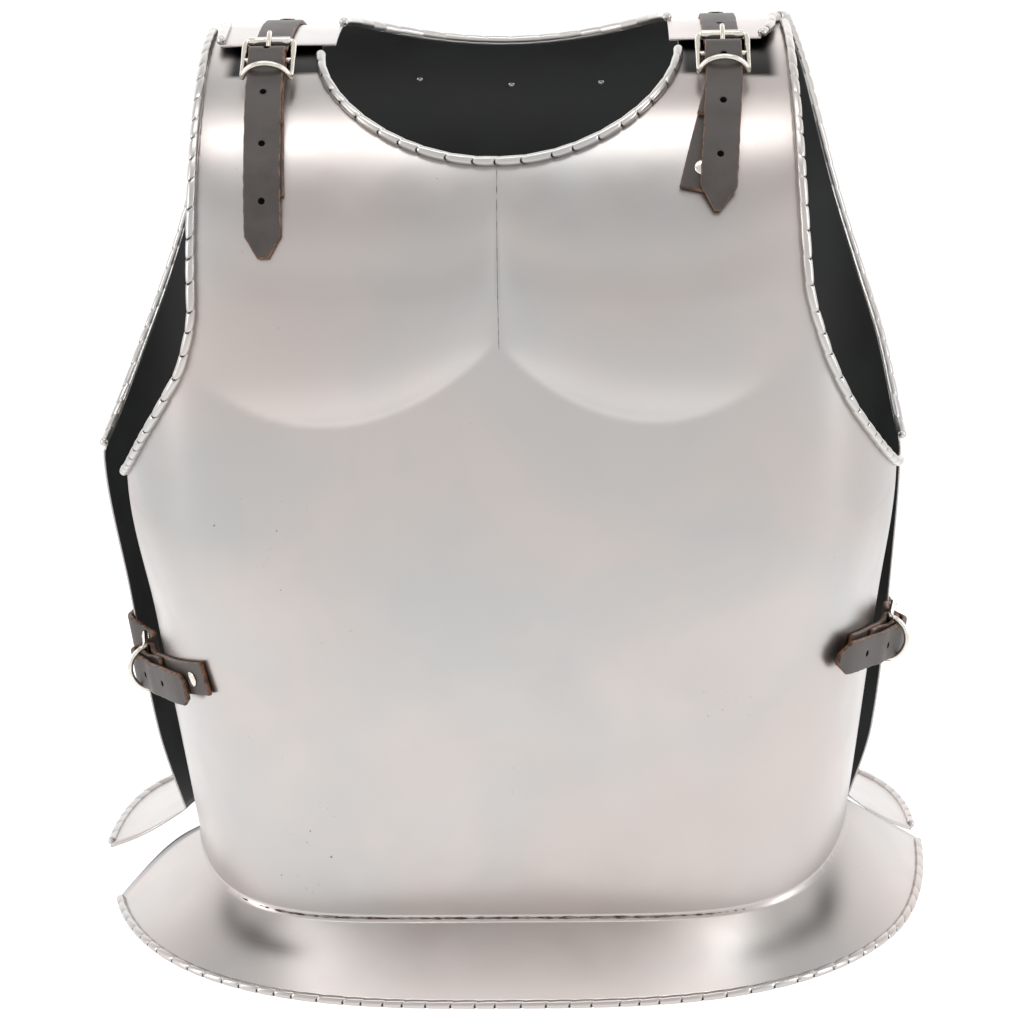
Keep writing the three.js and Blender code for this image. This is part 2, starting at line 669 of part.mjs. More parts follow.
// All pieces of one strap set, as named solids, and the rivet places that the plates are drilled for.
function strapSet(name, buckle, chapeGround, billetGround, backPoints, backRivet, chapeReach, billetReach) {
  const { at, across, frame } = buckle;
  const follow = (ground, rows) => rows.map(({ along, lift }) => over(ground, along, lift));
  const fold = [90, 135, 180, 225, 270].map((degrees) => {
    const angle = (degrees * Math.PI) / 180;
    return at(FOLD * Math.cos(angle), 0, FOLD * Math.sin(angle));
  });
  const flatEnd = [1, 2, 3, 4].map((n) => over(chapeGround, mix(34, chapeReach, n / 4), CHAPE_LIFT));
  const chapeLine = [...follow(chapeGround, UPPER_CHAPE).reverse(), ...fold, ...follow(chapeGround, LOWER_CHAPE),
    ...flatEnd];
  const buckleLine = [[END_BAR - 6, 0, -4.9], [END_BAR, 0, -4.7], [END_BAR + 3, 0, -4], [-5, 0, 4.2], [0, 0, 8],
    [8, 0, 7.6], [BOW_BAR, 0, 5.2]].map((p) => at(...p));
  const freeEnd = [0, 1, 2, 3, 4, 5, 6].map((n) => {
    const along = mix(28, billetReach, n / 6);
    return over(billetGround, along, tableValue(BILLET, 'along', 'lift', along));
  });
  const billetLine = [...backPoints, ...buckleLine, ...freeEnd];

  const drill = (solid, places) => places.reduce((rest, { place, axis }) => (
    rest.subtract(rivetHole(place, axis))), solid);
  const spot = (along) => {
    const place = over(chapeGround, along, 0);
    return { place, axis: over(chapeGround, along, 1).sub(place).normalize() };
  };
  const foldSpot = spot(FOLD_RIVET);
  const chapeSpot = spot(chapeReach - CHAPE_RIVET_INSET);

  const slot = block(frame, [-6, -1.9, -6], [4.5, 1.9, 6]);
  const hole = block(frame, [-11.5, -1.9, -9], [0.4, 1.9, 12]);
  const chape = drill(strap(chapeLine, across, 48).subtract(slot), [foldSpot, chapeSpot]);
  const billet = drill(strap(billetLine, across, 40).subtract(hole), [backRivet]);
  return {
    pieces: [
      { name: `${name}_chape_strap`, kind: 'leather', solid: chape },
      { name: `${name}_billet_strap`, kind: 'leather', solid: billet },
      { name: `${name}_buckle`, kind: 'nickel', solid: buckleSolid(buckle) },
      { name: `${name}_roller`, kind: 'nickel', solid: rollerSolid(buckle) },
      { name: `${name}_tongue`, kind: 'nickel', solid: tongueSolid(buckle) },
      { name: `${name}_fold_rivet`, kind: 'nickel', solid: disc(foldSpot.place, foldSpot.axis, 2, 0.8, 8, 12)
          .add(disc(foldSpot.place, foldSpot.axis, 4.5, 7.3, 8.4)) },
      { name: `${name}_chape_rivet`, kind: 'nickel',
        solid: rivet(chapeSpot.place, chapeSpot.axis, -WALL - 1.5, LEATHER + 1.1) },
      { name: `${name}_billet_rivet`, kind: 'nickel',
        solid: rivet(backRivet.place, backRivet.axis, -WALL - 1.5, LEATHER + 1.6) },
    ],
    frontHole: chapeSpot,
    backHole: backRivet,
  };
}

function shoulderSet({ name, x, billetDrift, chapeDrift, billetReach, chapeReach }) {
  const barT = 507.5;
  const ground = (drift) => groundLine(FRONT, 60, (k) => {
    const t = mix(barT, 385, k);
    return [uAtX(FRONT, x + drift * Math.max(0, barT - t - STRAIGHT), t), t];
  });
  const centre = over(ground(0), 0, BAR_LIFT);
  const buckle = buckleFrame(centre, new THREE.Vector3(0, -0.839, -0.545).normalize(),
    new THREE.Vector3(0, -0.545, 0.839).normalize());
  const onTab = (t) => {
    const u = uAtX(BACK, x, t);
    return { place: platePoint(BACK, u, t), axis: plateNormal(BACK, u, t) };
  };
  const lift = GAP + HALF_LEATHER;
  const backPoints = [522, 540, 556, 572, 586, 598, 608].map((t) => {
    const { place, axis } = onTab(t);
    return place.addScaledVector(axis, lift);
  });
  return strapSet(name, buckle, ground(chapeDrift), ground(billetDrift), backPoints, onTab(538), chapeReach, billetReach);
}

function sideSet({ name, hand, z, billetDrift, chapeDrift, backRise, billetReach, chapeReach }) {
  const edgeU = 0.999;
  const barAlong = 10;
  const uAt = (k) => hand * mix(edgeU, 0.4, k);
  const base = groundLine(FRONT, 80, (k) => [uAt(k), z - WAIST_Z]);
  const ground = (drift) => groundLine(FRONT, 80, (k) => {
    const aside = drift * Math.max(0, base[Math.round(80 * k)].along - barAlong - STRAIGHT);
    return [uAt(k), z - WAIST_Z + aside];
  });
  const fromBar = (line) => line.map((row) => ({ ...row, along: row.along - barAlong }));
  const centre = over(base, barAlong, BAR_LIFT);
  const outward = over(base, barAlong, BAR_LIFT + 1).sub(centre).normalize();
  const upward = platePoint(FRONT, hand * 0.98, z - WAIST_Z + 5).sub(platePoint(FRONT, hand * 0.98, z - WAIST_Z - 5));
  const forward = upward.multiplyScalar(-hand).cross(outward).normalize();
  const buckle = buckleFrame(centre, forward, outward);
  const onBack = (u) => ({
    place: platePoint(BACK, hand * u, z - WAIST_Z + backRise),
    axis: plateNormal(BACK, hand * u, z - WAIST_Z + backRise),
  });
  const lift = GAP + HALF_LEATHER;
  const backPoints = [0.72, 0.8, 0.88, 0.95, 0.995].map((u) => {
    const { place, axis } = onBack(u);
    return place.addScaledVector(axis, lift + 1);
  });
  return strapSet(name, buckle, fromBar(ground(chapeDrift)), fromBar(ground(billetDrift)), backPoints, onBack(0.8),
    chapeReach, billetReach);
}

// ---------------------------------------------------------------- the assembly

const SHEET_DETAIL = { across: 10, neck: 4, up: 15, shoulder: 6, skirt: 1 };
const NAPE_RIVETS = [
  { x: -49, t: 455 },
  { x: 7, t: 449 },
  { x: 62, t: 450 },
];

const material = (name, color, metalness, roughness) => (
  new THREE.MeshStandardMaterial({ name, color, metalness, roughness }));

const STEEL = () => material('polished_steel', 0xc8c6c3, 1, 0.3);
const NICKEL = () => material('nickel_plate', 0xcfc8bd, 1, 0.25);
const LEATHER_BROWN = () => material('dark_brown_leather', 0x5a5352, 0, 0.6);
const FINISHES = { steel: STEEL, nickel: NICKEL, leather: LEATHER_BROWN };

const sets = [...SHOULDERS.map(shoulderSet), ...SIDES.map(sideSet)];
let breastplate = plateSolid(FRONT, SHEET_DETAIL);
let backplate = plateSolid(BACK, SHEET_DETAIL);
for (const { frontHole, backHole } of sets) {
  breastplate = breastplate.subtract(rivetHole(frontHole.place, frontHole.axis));
  backplate = backplate.subtract(rivetHole(backHole.place, backHole.axis));
}
const napeRivets = NAPE_RIVETS.map(({ x, t }, i) => {
  const u = uAtX(BACK, x, t);
  const place = platePoint(BACK, u, t);
  const axis = plateNormal(BACK, u, t);
  backplate = backplate.subtract(rivetHole(place, axis));
  return { name: `nape_rivet_${i + 1}`, kind: 'nickel', solid: rivet(place, axis, -WALL - 2.2, GAP) };
});

const pieces = [
  { name: 'breastplate', kind: 'steel', solid: breastplate },
  { name: 'backplate', kind: 'steel', solid: backplate },
  ...sets.flatMap((set) => set.pieces),
  ...napeRivets,
];

// The cuirass is centred over the origin.
const bounds = new THREE.Box3();
for (const { solid } of pieces) {
  const { min, max } = solid.boundingBox();
  bounds.expandByPoint(new THREE.Vector3(...min)).expandByPoint(new THREE.Vector3(...max));
}
const middle = bounds.getCenter(new THREE.Vector3());

const group = new THREE.Group();
group.name = 'steel_cuirass';
for (const { name, kind, solid } of pieces) {
  const mesh = new THREE.Mesh(geometryOf(solid.translate([-middle.x, -middle.y, 0])), FINISHES[kind]());
  mesh.name = name;
  group.add(mesh);
}
export default group;
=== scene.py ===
"""A full size steel cuirass, breastplate and backplate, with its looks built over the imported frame."""
from functools import partial
import math
import bmesh
import bpy
import numpy as np
from mathutils import Matrix, Vector


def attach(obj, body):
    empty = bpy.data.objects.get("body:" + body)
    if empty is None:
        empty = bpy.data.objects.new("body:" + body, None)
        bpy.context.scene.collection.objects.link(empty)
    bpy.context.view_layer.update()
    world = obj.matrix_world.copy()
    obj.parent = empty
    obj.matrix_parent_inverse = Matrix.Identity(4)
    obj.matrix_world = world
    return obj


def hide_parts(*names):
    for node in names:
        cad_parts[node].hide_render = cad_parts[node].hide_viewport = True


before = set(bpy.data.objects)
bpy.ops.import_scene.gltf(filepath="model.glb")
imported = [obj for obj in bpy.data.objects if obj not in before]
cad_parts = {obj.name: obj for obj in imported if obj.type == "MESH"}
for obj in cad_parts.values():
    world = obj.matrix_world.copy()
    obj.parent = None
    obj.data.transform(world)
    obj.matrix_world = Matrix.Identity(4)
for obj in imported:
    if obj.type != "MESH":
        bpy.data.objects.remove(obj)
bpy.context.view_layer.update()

# ---------------------------------------------------------------- sizes, in millimetres

SHIFT = np.array([0.517, -4.0, 0.0])    # the plates' own axes are moved by this to stand centred
WALL = 1.2
RIM_RADIUS = 2.8
LEATHER = 2.8
STRAP_WIDTH = 20.0
GAP = 0.3
WAIST_Z = 30.0
SPRING_Z = 400.0
SPRING = SPRING_Z - WAIST_Z
HEM_Z = 1.6
TAB_DROOP = 3.0
TAB_LENGTH = 42.0
NECK_CORNER = math.radians(40)
ARMHOLE_SPLIT = 480.0
BREAST_HEIGHT = 10.5
BREAST_RISE = 17.0
BREAST_FADE_FROM = 25.0  # height over the foot line where a breast starts to die away
BREAST_FADE = 130.0      # and the height that it takes
VALLEY_FOOT = 12.0       # half width of the valley between the breasts, at its foot
VALLEY_TOP = 24.0        # and at its top
VALLEY_REACH = 90.0      # height of that top over the foot line


def table(columns, *rows):
    """A small table: column name to an array of its values, top to bottom."""
    return dict(zip(columns.split(), np.array(rows, float).T))


# Each plate is a sheet over (u, t): u from -1 at one side edge to +1 at the other, t the height above the
# waist seam, measured along the sheet where it rolls over the shoulders.
FRONT = dict(
    facing=-1, middle_x=6, side_y=-8, depth=142, waist_depth=121, shoulder_rise=125,
    sections=table("t left right flat side",
                   (0, 194, 199, 5.5, 1.6),
                   (60, 203, 207, 5.2, 1.45),
                   (150, 216, 218, 5.4, 1.35),
                   (241, 227, 228, 7.2, 1.55),
                   (370, 224, 224, 8.0, 1.7),
                   (570, 208, 208, 8.0, 1.8)),
    armhole_left=table("t x", (241, -221), (261, -209), (286, -195), (313, -179), (338, -166),
                       (370, -159), (470, -158), (575, -159)),
    armhole_right=table("t x", (241, 234), (261, 223), (280, 212), (310, 195), (344, 181),
                        (380, 172), (450, 168.5), (575, 166.5)),
    neck=dict(x=6, t=527, half_width=99.5, drop=80.5),
    shoulder_end=576, rim_end=566,
    waist_rise={-1: 8, 1: 22},
    hem=dict(half_width=250, side_y=10, depth=193, flat=3, side=1.9),
    skirt_ends={-1: dict(u=0.87, back=0, lift=0, bow=20), 1: dict(u=0.99, back=26, lift=6, bow=0)},
    breasts={-1: dict(x=-90, foot=333.5, curl=0.0050, reach=96),
             1: dict(x=91, foot=334.5, curl=0.0058, reach=84)},
)

BACK = dict(
    facing=1, middle_x=-1, side_y=22, depth=128, waist_depth=96, shoulder_rise=127.5,
    sections=table("t left right flat side",
                   (0, 202, 209, 4.5, 1.7),
                   (60, 218, 227, 4.5, 1.8),
                   (150, 230, 236, 4.5, 1.9),
                   (241, 241, 241, 5.0, 1.9),
                   (370, 236, 238, 6.0, 1.9),
                   (570, 215, 220, 8.0, 1.9)),
    armhole_left=table("t x", (241, -242), (290, -224), (330, -209), (380, -193), (450, -176),
                       (520, -160), (568, -152), (612, -150)),
    armhole_right=table("t x", (241, 240), (290, 231), (330, 219), (380, 204), (450, 187),
                        (520, 172), (555, 167), (567, 160), (590, 158), (612, 151)),
    neck=dict(x=7.5, t=560, half_width=93, drop=68),
    shoulder_end=612, rim_end=610,
    waist_rise={-1: 6, 1: 12},
    hem=dict(half_width=256, side_y=48, depth=143, flat=6, side=2.6),
    skirt_ends={-1: dict(u=1, back=-6, lift=0, bow=-8), 1: dict(u=1, back=8, lift=2, bow=-8)},
    breasts={},
)
ARMHOLE = {-1: "armhole_left", 1: "armhole_right"}

# Faces of half a sheet: across it, of those below the neckline, up to the shoulder, over it, down the skirt.
SHEET = dict(across=100, neck=45, up=170, shoulder=60, skirt=16)
NECK_SHARE = SHEET["neck"] / SHEET["across"]


# ---------------------------------------------------------------- curves

def ease(k):
    """0 to 1 with level ends: k squared times (3 - 2k), k held between 0 and 1."""
    k = np.clip(k, 0, 1)
    return k * k * (3 - 2 * k)


def column(rows, name, at, key="t"):
    """A table's column between its rows: cubic pieces whose slope at a row is the harmonic mean of the
    slopes on both sides, or level where those disagree in sign, so the curve never overshoots."""
    x, y = rows[key], rows[name]
    at = np.clip(at, x[0], x[-1])
    span = np.diff(x)
    slope = np.diff(y) / span
    same = slope[:-1] * slope[1:] > 0
    total = np.where(same, slope[:-1] + slope[1:], 1)
    inner = np.where(same, 2 * slope[:-1] * slope[1:] / total, 0)
    tangent = np.concatenate([slope[:1], inner, slope[-1:]])
    i = np.clip(np.searchsorted(x, at, side="left") - 1, 0, len(span) - 1)
    s = (at - x[i]) / span[i]
    start = (1 + 2 * s) * (1 - s) ** 2 * y[i] + s * (1 - s) ** 2 * span[i] * tangent[i]
    end = s * s * (3 - 2 * s) * y[i + 1] - s * s * (1 - s) * span[i] * tangent[i + 1]
    return start + end


def spline(points, count):
    """count points, evenly spaced, on the centripetal Catmull-Rom curve through the given points."""
    p = np.asarray(points, float)
    p = np.vstack([2 * p[:1] - p[1:2], p, 2 * p[-1:] - p[-2:-1]])
    knot = np.concatenate([[0], np.cumsum(np.linalg.norm(np.diff(p, axis=0), axis=1) ** 0.5)])
    at = np.linspace(knot[1], knot[-2], 40 * (len(p) - 3) + 1)
    i = np.clip(np.searchsorted(knot, at, side="right") - 1, 1, len(p) - 3)
    k = [knot[i + n][:, None] for n in (-1, 0, 1, 2)]
    q = [p[i + n] for n in (-1, 0, 1, 2)]
    t = at[:, None]
    blend = lambda a, b, ka, kb: ((kb - t) * a + (t - ka) * b) / (kb - ka)
    a = [blend(q[n], q[n + 1], k[n], k[n + 1]) for n in range(3)]
    b = [blend(a[0], a[1], k[0], k[2]), blend(a[1], a[2], k[1], k[3])]
    return evenly(blend(b[0], b[1], k[1], k[2]), count)


def evenly(line, count):
    """count points at equal distances along a polyline."""
    along = lengths(line)
    at = np.linspace(0, along[-1], count)
    return np.stack([np.interp(at, along, line[:, n]) for n in range(3)], axis=1)


def lengths(line):
    """Distance from the first point to each point along the line."""
    return np.concatenate([[0], np.cumsum(np.linalg.norm(np.diff(line, axis=0), axis=1))])


def unit(vectors):
    """The vectors divided by their lengths."""
    return vectors / np.linalg.norm(vectors, axis=-1, keepdims=True)


# ---------------------------------------------------------------- the plates' form

def breast_swell(plate, x, z):
    """How far a breast stands out: an exponential rise above its curled foot line, times a fade towards
    the neck, a raised cosine at its outer side and an exponential fall into the centre seam."""
    if not plate["breasts"]:
        return np.zeros(np.broadcast(x, z).shape)
    left, right = plate["breasts"][-1], plate["breasts"][1]
    pick = lambda key: np.where(x < plate["middle_x"], left[key], right[key])
    across = x - pick("x")
    above = np.maximum(z - pick("foot") - pick("curl") * across ** 2, 0)
    rise = 1 - np.exp(-above / BREAST_RISE)
    fade = 1 - ease((above - BREAST_FADE_FROM) / BREAST_FADE)
    outer = np.where(across * (pick("x") - plate["middle_x"]) > 0, np.abs(across) / pick("reach"), 0)
    side = 0.5 + 0.5 * np.cos(math.pi * np.minimum(outer, 1))
    half_width = VALLEY_FOOT + (VALLEY_TOP - VALLEY_FOOT) * np.minimum(above / VALLEY_REACH, 1)
    valley = 1 - np.exp(-np.abs(x - plate["middle_x"]) / half_width)
    return BREAST_HEIGHT * rise * fade * side * valley


def plate_point(plate, u, t):
    """Outer face of a plate: a superellipse plan whose half widths and powers change with the height;
    above the spring line it rolls over on a quarter ellipse, and past the crest it runs on forwards."""
    u, t = np.broadcast_arrays(np.asarray(u, float), np.asarray(t, float))
    rows = plate["sections"]
    across = np.sin(math.pi / 2 * u)
    half = np.where(u < 0, column(rows, "left", t), column(rows, "right", t))
    flat = column(rows, "flat", t)
    side = column(rows, "side", t)
    wall = np.clip(1 - np.abs(across) ** flat, 0, 1) ** (1 / side)
    x = plate["middle_x"] + across * half
    turn = np.clip((t - SPRING) / plate["shoulder_rise"], 0, None)
    crest = np.minimum(turn, math.pi / 2)
    past = plate["shoulder_rise"] * (turn - crest)
    below = np.clip((SPRING - t) / SPRING, 0, 1)
    z = np.where(t > SPRING, SPRING_Z + plate["shoulder_rise"] * np.sin(crest), WAIST_Z + t)
    z = z - TAB_DROOP * (past / TAB_LENGTH) ** 2
    depth = plate["depth"] - (plate["depth"] - plate["waist_depth"]) * below ** 2
    y = (plate["side_y"] * plate["facing"] + depth * wall) * np.cos(crest) - past
    y = y + breast_swell(plate, x, z)
    return np.stack([x, plate["facing"] * y, z], axis=-1)


def plate_normal(plate, u, t):
    """Outward normal: the cross product of the sheet's two directions."""
    up = plate_point(plate, u, t + 0.5) - plate_point(plate, u, t - 0.5)
    over = plate_point(plate, u + 0.004, t) - plate_point(plate, u - 0.004, t)
    return unit(np.cross(over, up) * -plate["facing"])


def u_at_x(plate, x, t):
    """The u of the place at height t whose x is given."""
    rows = plate["sections"]
    half = np.where(x < plate["middle_x"], column(rows, "left", t), column(rows, "right", t))
    return np.arcsin(np.clip((x - plate["middle_x"]) / half, -1, 1)) / (math.pi / 2)


def armhole(plate, hand, t):
    """(u, t) of the armhole's edge at heights t."""
    return np.stack([u_at_x(plate, column(plate[ARMHOLE[hand]], "x", t), t), t], axis=-1)


def neckline(plate, hand, angle):
    """(u, t) on half an ellipse: angle 0 is its end at the shoulder, a right angle its lowest point."""
    neck = plate["neck"]
    t = neck["t"] - neck["drop"] * np.sin(angle)
    return np.stack([u_at_x(plate, neck["x"] + hand * neck["half_width"] * np.cos(angle), t), t], axis=-1)


def skirt_point(plate, u, v):
    """Skirt: straight lines from the waist seam (v = 0) to the hem's superellipse (v = 1), bowed a
    little near its ends."""
    u, v = np.broadcast_arrays(np.asarray(u, float), np.asarray(v, float))
    pick = lambda key: np.where(u < 0, plate["skirt_ends"][-1][key], plate["skirt_ends"][1][key])
    rise = np.where(u < 0, plate["waist_rise"][-1], plate["waist_rise"][1])
    seam = plate_point(plate, u, rise * u ** 4)
    hem = plate["hem"]
    across = np.sin(math.pi / 2 * u * pick("u"))
    reach = np.clip(1 - np.abs(across) ** hem["flat"], 0, 1) ** (1 / hem["side"])
    near_end = np.clip((np.abs(u) - 0.7) / 0.3, 0, 1) ** 2
    edge = np.stack([plate["middle_x"] + across * hem["half_width"],
                     plate["facing"] * hem["depth"] * reach + hem["side_y"] + pick("back") * near_end,
                     HEM_Z + pick("lift") * near_end], axis=-1)
    point = seam + (edge - seam) * v[..., None]
    point[..., 1] += pick("bow") * np.sin(math.pi * v) * near_end
    return point


# ---------------------------------------------------------------- patches of (u, t) between four edges

def patch(columns, rows, left, right, bottom, top):
    """Coons patch: sides blended across, plus bottom and top blended upwards, less the corners' blend."""
    r = np.linspace(0, 1, columns + 1)
    s = np.linspace(0, 1, rows + 1)
    low, high = bottom(r), top(r)
    one, two = left(s), right(s)
    r, s = r[None, :, None], s[:, None, None]
    sides = one[:, None] * (1 - r) + two[:, None] * r
    ends = low[None] * (1 - s) + high[None] * s
    corners = (low[0] * (1 - r) + low[-1] * r) * (1 - s) + (high[0] * (1 - r) + high[-1] * r) * s
    return sides + ends - corners


def body_patch(plate, hand):
    """Half of a plate's body, between its centre line, side edge and armhole, waist and neckline."""
    armpit = plate[ARMHOLE[hand]]["t"][0]
    foot = plate["waist_rise"][hand]
    low = neckline(plate, hand, np.array(math.pi / 2))
    split = armpit / ARMHOLE_SPLIT

    def outer(k):
        side = np.stack([np.full(k.shape, float(hand)), foot + (armpit - foot) * k / split], -1)
        up = armpit + (ARMHOLE_SPLIT - armpit) * (k - split) / (1 - split)
        return np.where((k < split)[:, None], side, armhole(plate, hand, np.maximum(up, armpit)))

    return patch(
        SHEET["across"], SHEET["up"],
        left=lambda k: k[:, None] * low,
        right=outer,
        bottom=lambda k: np.stack([hand * k, foot * k ** 4], -1),
        top=lambda k: body_top(plate, hand, k))


def body_top(plate, hand, k):
    """The low part of the neckline, then straight across to the armhole."""
    angle = math.pi / 2 + (NECK_CORNER - math.pi / 2) * np.minimum(k / NECK_SHARE, 1)
    corner = neckline(plate, hand, np.array(NECK_CORNER))
    arm = armhole(plate, hand, np.array(ARMHOLE_SPLIT))
    s = ((k - NECK_SHARE) / (1 - NECK_SHARE))[:, None]
    return np.where((k < NECK_SHARE)[:, None], neckline(plate, hand, angle), corner + (arm - corner) * s)


def shoulder_patch(plate, hand):
    """From the corner of the neckline up and over the shoulder, between neck and armhole."""
    end = float(plate["shoulder_end"])
    neck = plate["neck"]

    def inner(k):
        angle = NECK_CORNER * (1 - np.minimum(k / 0.5, 1))
        t = neck["t"] + (end - neck["t"]) * (k - 0.5) / 0.5
        up = np.stack([u_at_x(plate, neck["x"] + hand * neck["half_width"], t), t], -1)
        return np.where((k < 0.5)[:, None], neckline(plate, hand, angle), up)

    inner_u = inner(np.array([1.0]))[0, 0]
    outer_u = armhole(plate, hand, np.array(end))[0]
    return patch(
        SHEET["across"] - SHEET["neck"], SHEET["shoulder"],
        left=inner,
        right=lambda k: armhole(plate, hand, ARMHOLE_SPLIT + (end - ARMHOLE_SPLIT) * k),
        bottom=lambda k: body_top(plate, hand, NECK_SHARE + (1 - NECK_SHARE) * k),
        top=lambda k: np.stack([inner_u + (outer_u - inner_u) * k, np.full(k.shape, end)], -1))


# ---------------------------------------------------------------- meshes

def grid_faces(rows, columns, wrap_rows=False, wrap_columns=False, flip=False):
    """Quads of a grid of points numbered row by row, joined round where it wraps."""
    i = np.arange(rows if wrap_rows else rows - 1)[:, None]
    j = np.arange(columns if wrap_columns else columns - 1)[None, :]
    i2, j2 = (i + 1) % rows, (j + 1) % columns
    quads = np.stack([i * columns + j, i * columns + j2, i2 * columns + j2, i2 * columns + j], -1)
    quads = quads.reshape(-1, 4)
    return quads[:, ::-1] if flip else quads


def new_mesh(name, points, faces, attributes=None):
    """A smooth mesh in metres from points in millimetres, with named values for each point."""
    mesh = bpy.data.meshes.new(name)
    placed = (points.reshape(-1, 3) + SHIFT) * 0.001
    mesh.from_pydata(placed.tolist(), [], faces.tolist())
    for key, values in (attributes or {}).items():
        layer = mesh.attributes.new(key, "FLOAT", "POINT")
        layer.data.foreach_set("value", np.ravel(values).astype(np.float32))
    mesh.polygons.foreach_set("use_smooth", np.ones(len(mesh.polygons), bool))
    mesh.update()
    return mesh


def add_piece(mesh, slot, materials, *nodes):
    """Puts a mesh in the scene under its own name, with its materials and body, and hides the frame's
    nodes that it stands for. The slot is not used."""
    piece = bpy.data.objects.new(mesh.name, mesh)
    bpy.context.scene.collection.objects.link(piece)
    for material in materials:
        mesh.materials.append(material)
    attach(piece, "root")
    if nodes:
        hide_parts(*nodes)
    return piece


def weld(mesh):
    """Joins points that meet, within 0.02 mm, where patches touch and ends close."""
    work = bmesh.new()
    work.from_mesh(mesh)
    bmesh.ops.remove_doubles(work, verts=work.verts, dist=0.00002)
    work.to_mesh(mesh)
    work.free()
    return mesh


def outward(mesh, close=False):
    """Turns every normal outwards; close first fills the two ends of a tube of quads."""
    work = bmesh.new()
    work.from_mesh(mesh)
    if close:
        bmesh.ops.holes_fill(work, edges=[edge for edge in work.edges if edge.is_boundary])
    bmesh.ops.recalc_face_normals(work, faces=work.faces)
    work.to_mesh(mesh)
    work.free()
    return mesh


def frames_along(line, hint):
    """Tangent, side and up at each point of a line: up is the hint made square to the tangent."""
    tangent = unit(np.gradient(line, axis=0))
    side = unit(np.cross(tangent, hint))
    return tangent, side, np.cross(side, tangent)


def rings(centre, side, up, angle, size):
    """Rounds about each centre: centre + size (side cos angle + up sin angle)."""
    return (centre[:, None] + side[:, None] * (np.cos(angle) * size)[..., None]
            + up[:, None] * (np.sin(angle) * size)[..., None])


def tube(name, line, hint, radius, sides=16, closed=False):
    """A round profile carried along a line, whose radius may change along it. Open ends close in a
    small dome."""
    line = np.asarray(line, float)
    if closed:
        tangent = unit(np.roll(line, -1, 0) - np.roll(line, 1, 0))
        side = unit(np.cross(tangent, hint))
        up = np.cross(side, tangent)
    else:
        tangent, side, up = frames_along(line, hint)
    angle = np.linspace(0, 2 * math.pi, sides, endpoint=False)
    size = np.broadcast_to(np.asarray(radius, float), (len(line),))[:, None] * np.ones((1, sides))

    def dome(end, sign, shrink, reach):
        centre = line[[end] * 3] + sign * tangent[[end] * 3] * (reach * size[end, 0])[:, None]
        return rings(centre, side[[end] * 3], up[[end] * 3], angle, size[[end] * 3] * shrink[:, None])

    points = rings(line, side, up, angle, size)
    if not closed:
        shrink, reach = np.array([0.0, 0.5, 0.87]), np.array([1.0, 0.87, 0.5])
        points = np.concatenate([dome(0, -1, shrink, reach), points, dome(-1, 1, shrink[::-1], reach[::-1])])
    faces = grid_faces(len(points), sides, wrap_rows=closed, wrap_columns=True)
    return weld(new_mesh(name, points, faces))


# ---------------------------------------------------------------- colours and materials

def linear(code):
    """An sRGB hex colour as linear values."""
    channels = [int(code[n:n + 2], 16) / 255 for n in (1, 3, 5)]
    return tuple(c / 12.92 if c <= 0.04045 else ((c + 0.055) / 1.055) ** 2.4 for c in channels) + (1.0,)


def node(tree, kind, output=0, **values):
    """Adds a shader node and gives one of its outputs. Each value is a property of the node or, by its
    name with _ for a space or by _ and its number, a socket: set, or linked where it is another output.
    A pair under From or To sets that name's Min and Max."""
    made = tree.nodes.new("ShaderNode" + kind)
    for key, value in values.items():
        place = int(key[1:]) if key[0] == "_" else key.replace("_", " ")
        if key in ("From", "To"):
            made.inputs[key + " Min"].default_value, made.inputs[key + " Max"].default_value = value
        elif isinstance(place, str) and place not in made.inputs:
            setattr(made, key, value)
        elif isinstance(value, bpy.types.NodeSocket):
            tree.links.new(value, made.inputs[place])
        else:
            made.inputs[place].default_value = value
    return made.outputs[output] if len(made.outputs) else made


def new_material(name):
    """An empty material, what adds a node to it, and the object's own coordinates in metres."""
    material = bpy.data.materials.new(name)
    material.use_nodes = True
    material.node_tree.nodes.clear()
    add = partial(node, material.node_tree)
    return material, add, add("TexCoord", "Object")


def grain(size):
    """The scale of a pattern whose features are size millimetres wide."""
    return 1000 / size


S_CURVE = {"interpolation_type": "SMOOTHSTEP"}    # for a range mapped along a soft curve, held at its ends
COLOURS = {"output": 2, "data_type": "RGBA"}      # for a mix of two colours, _6 and _7, by the share _0


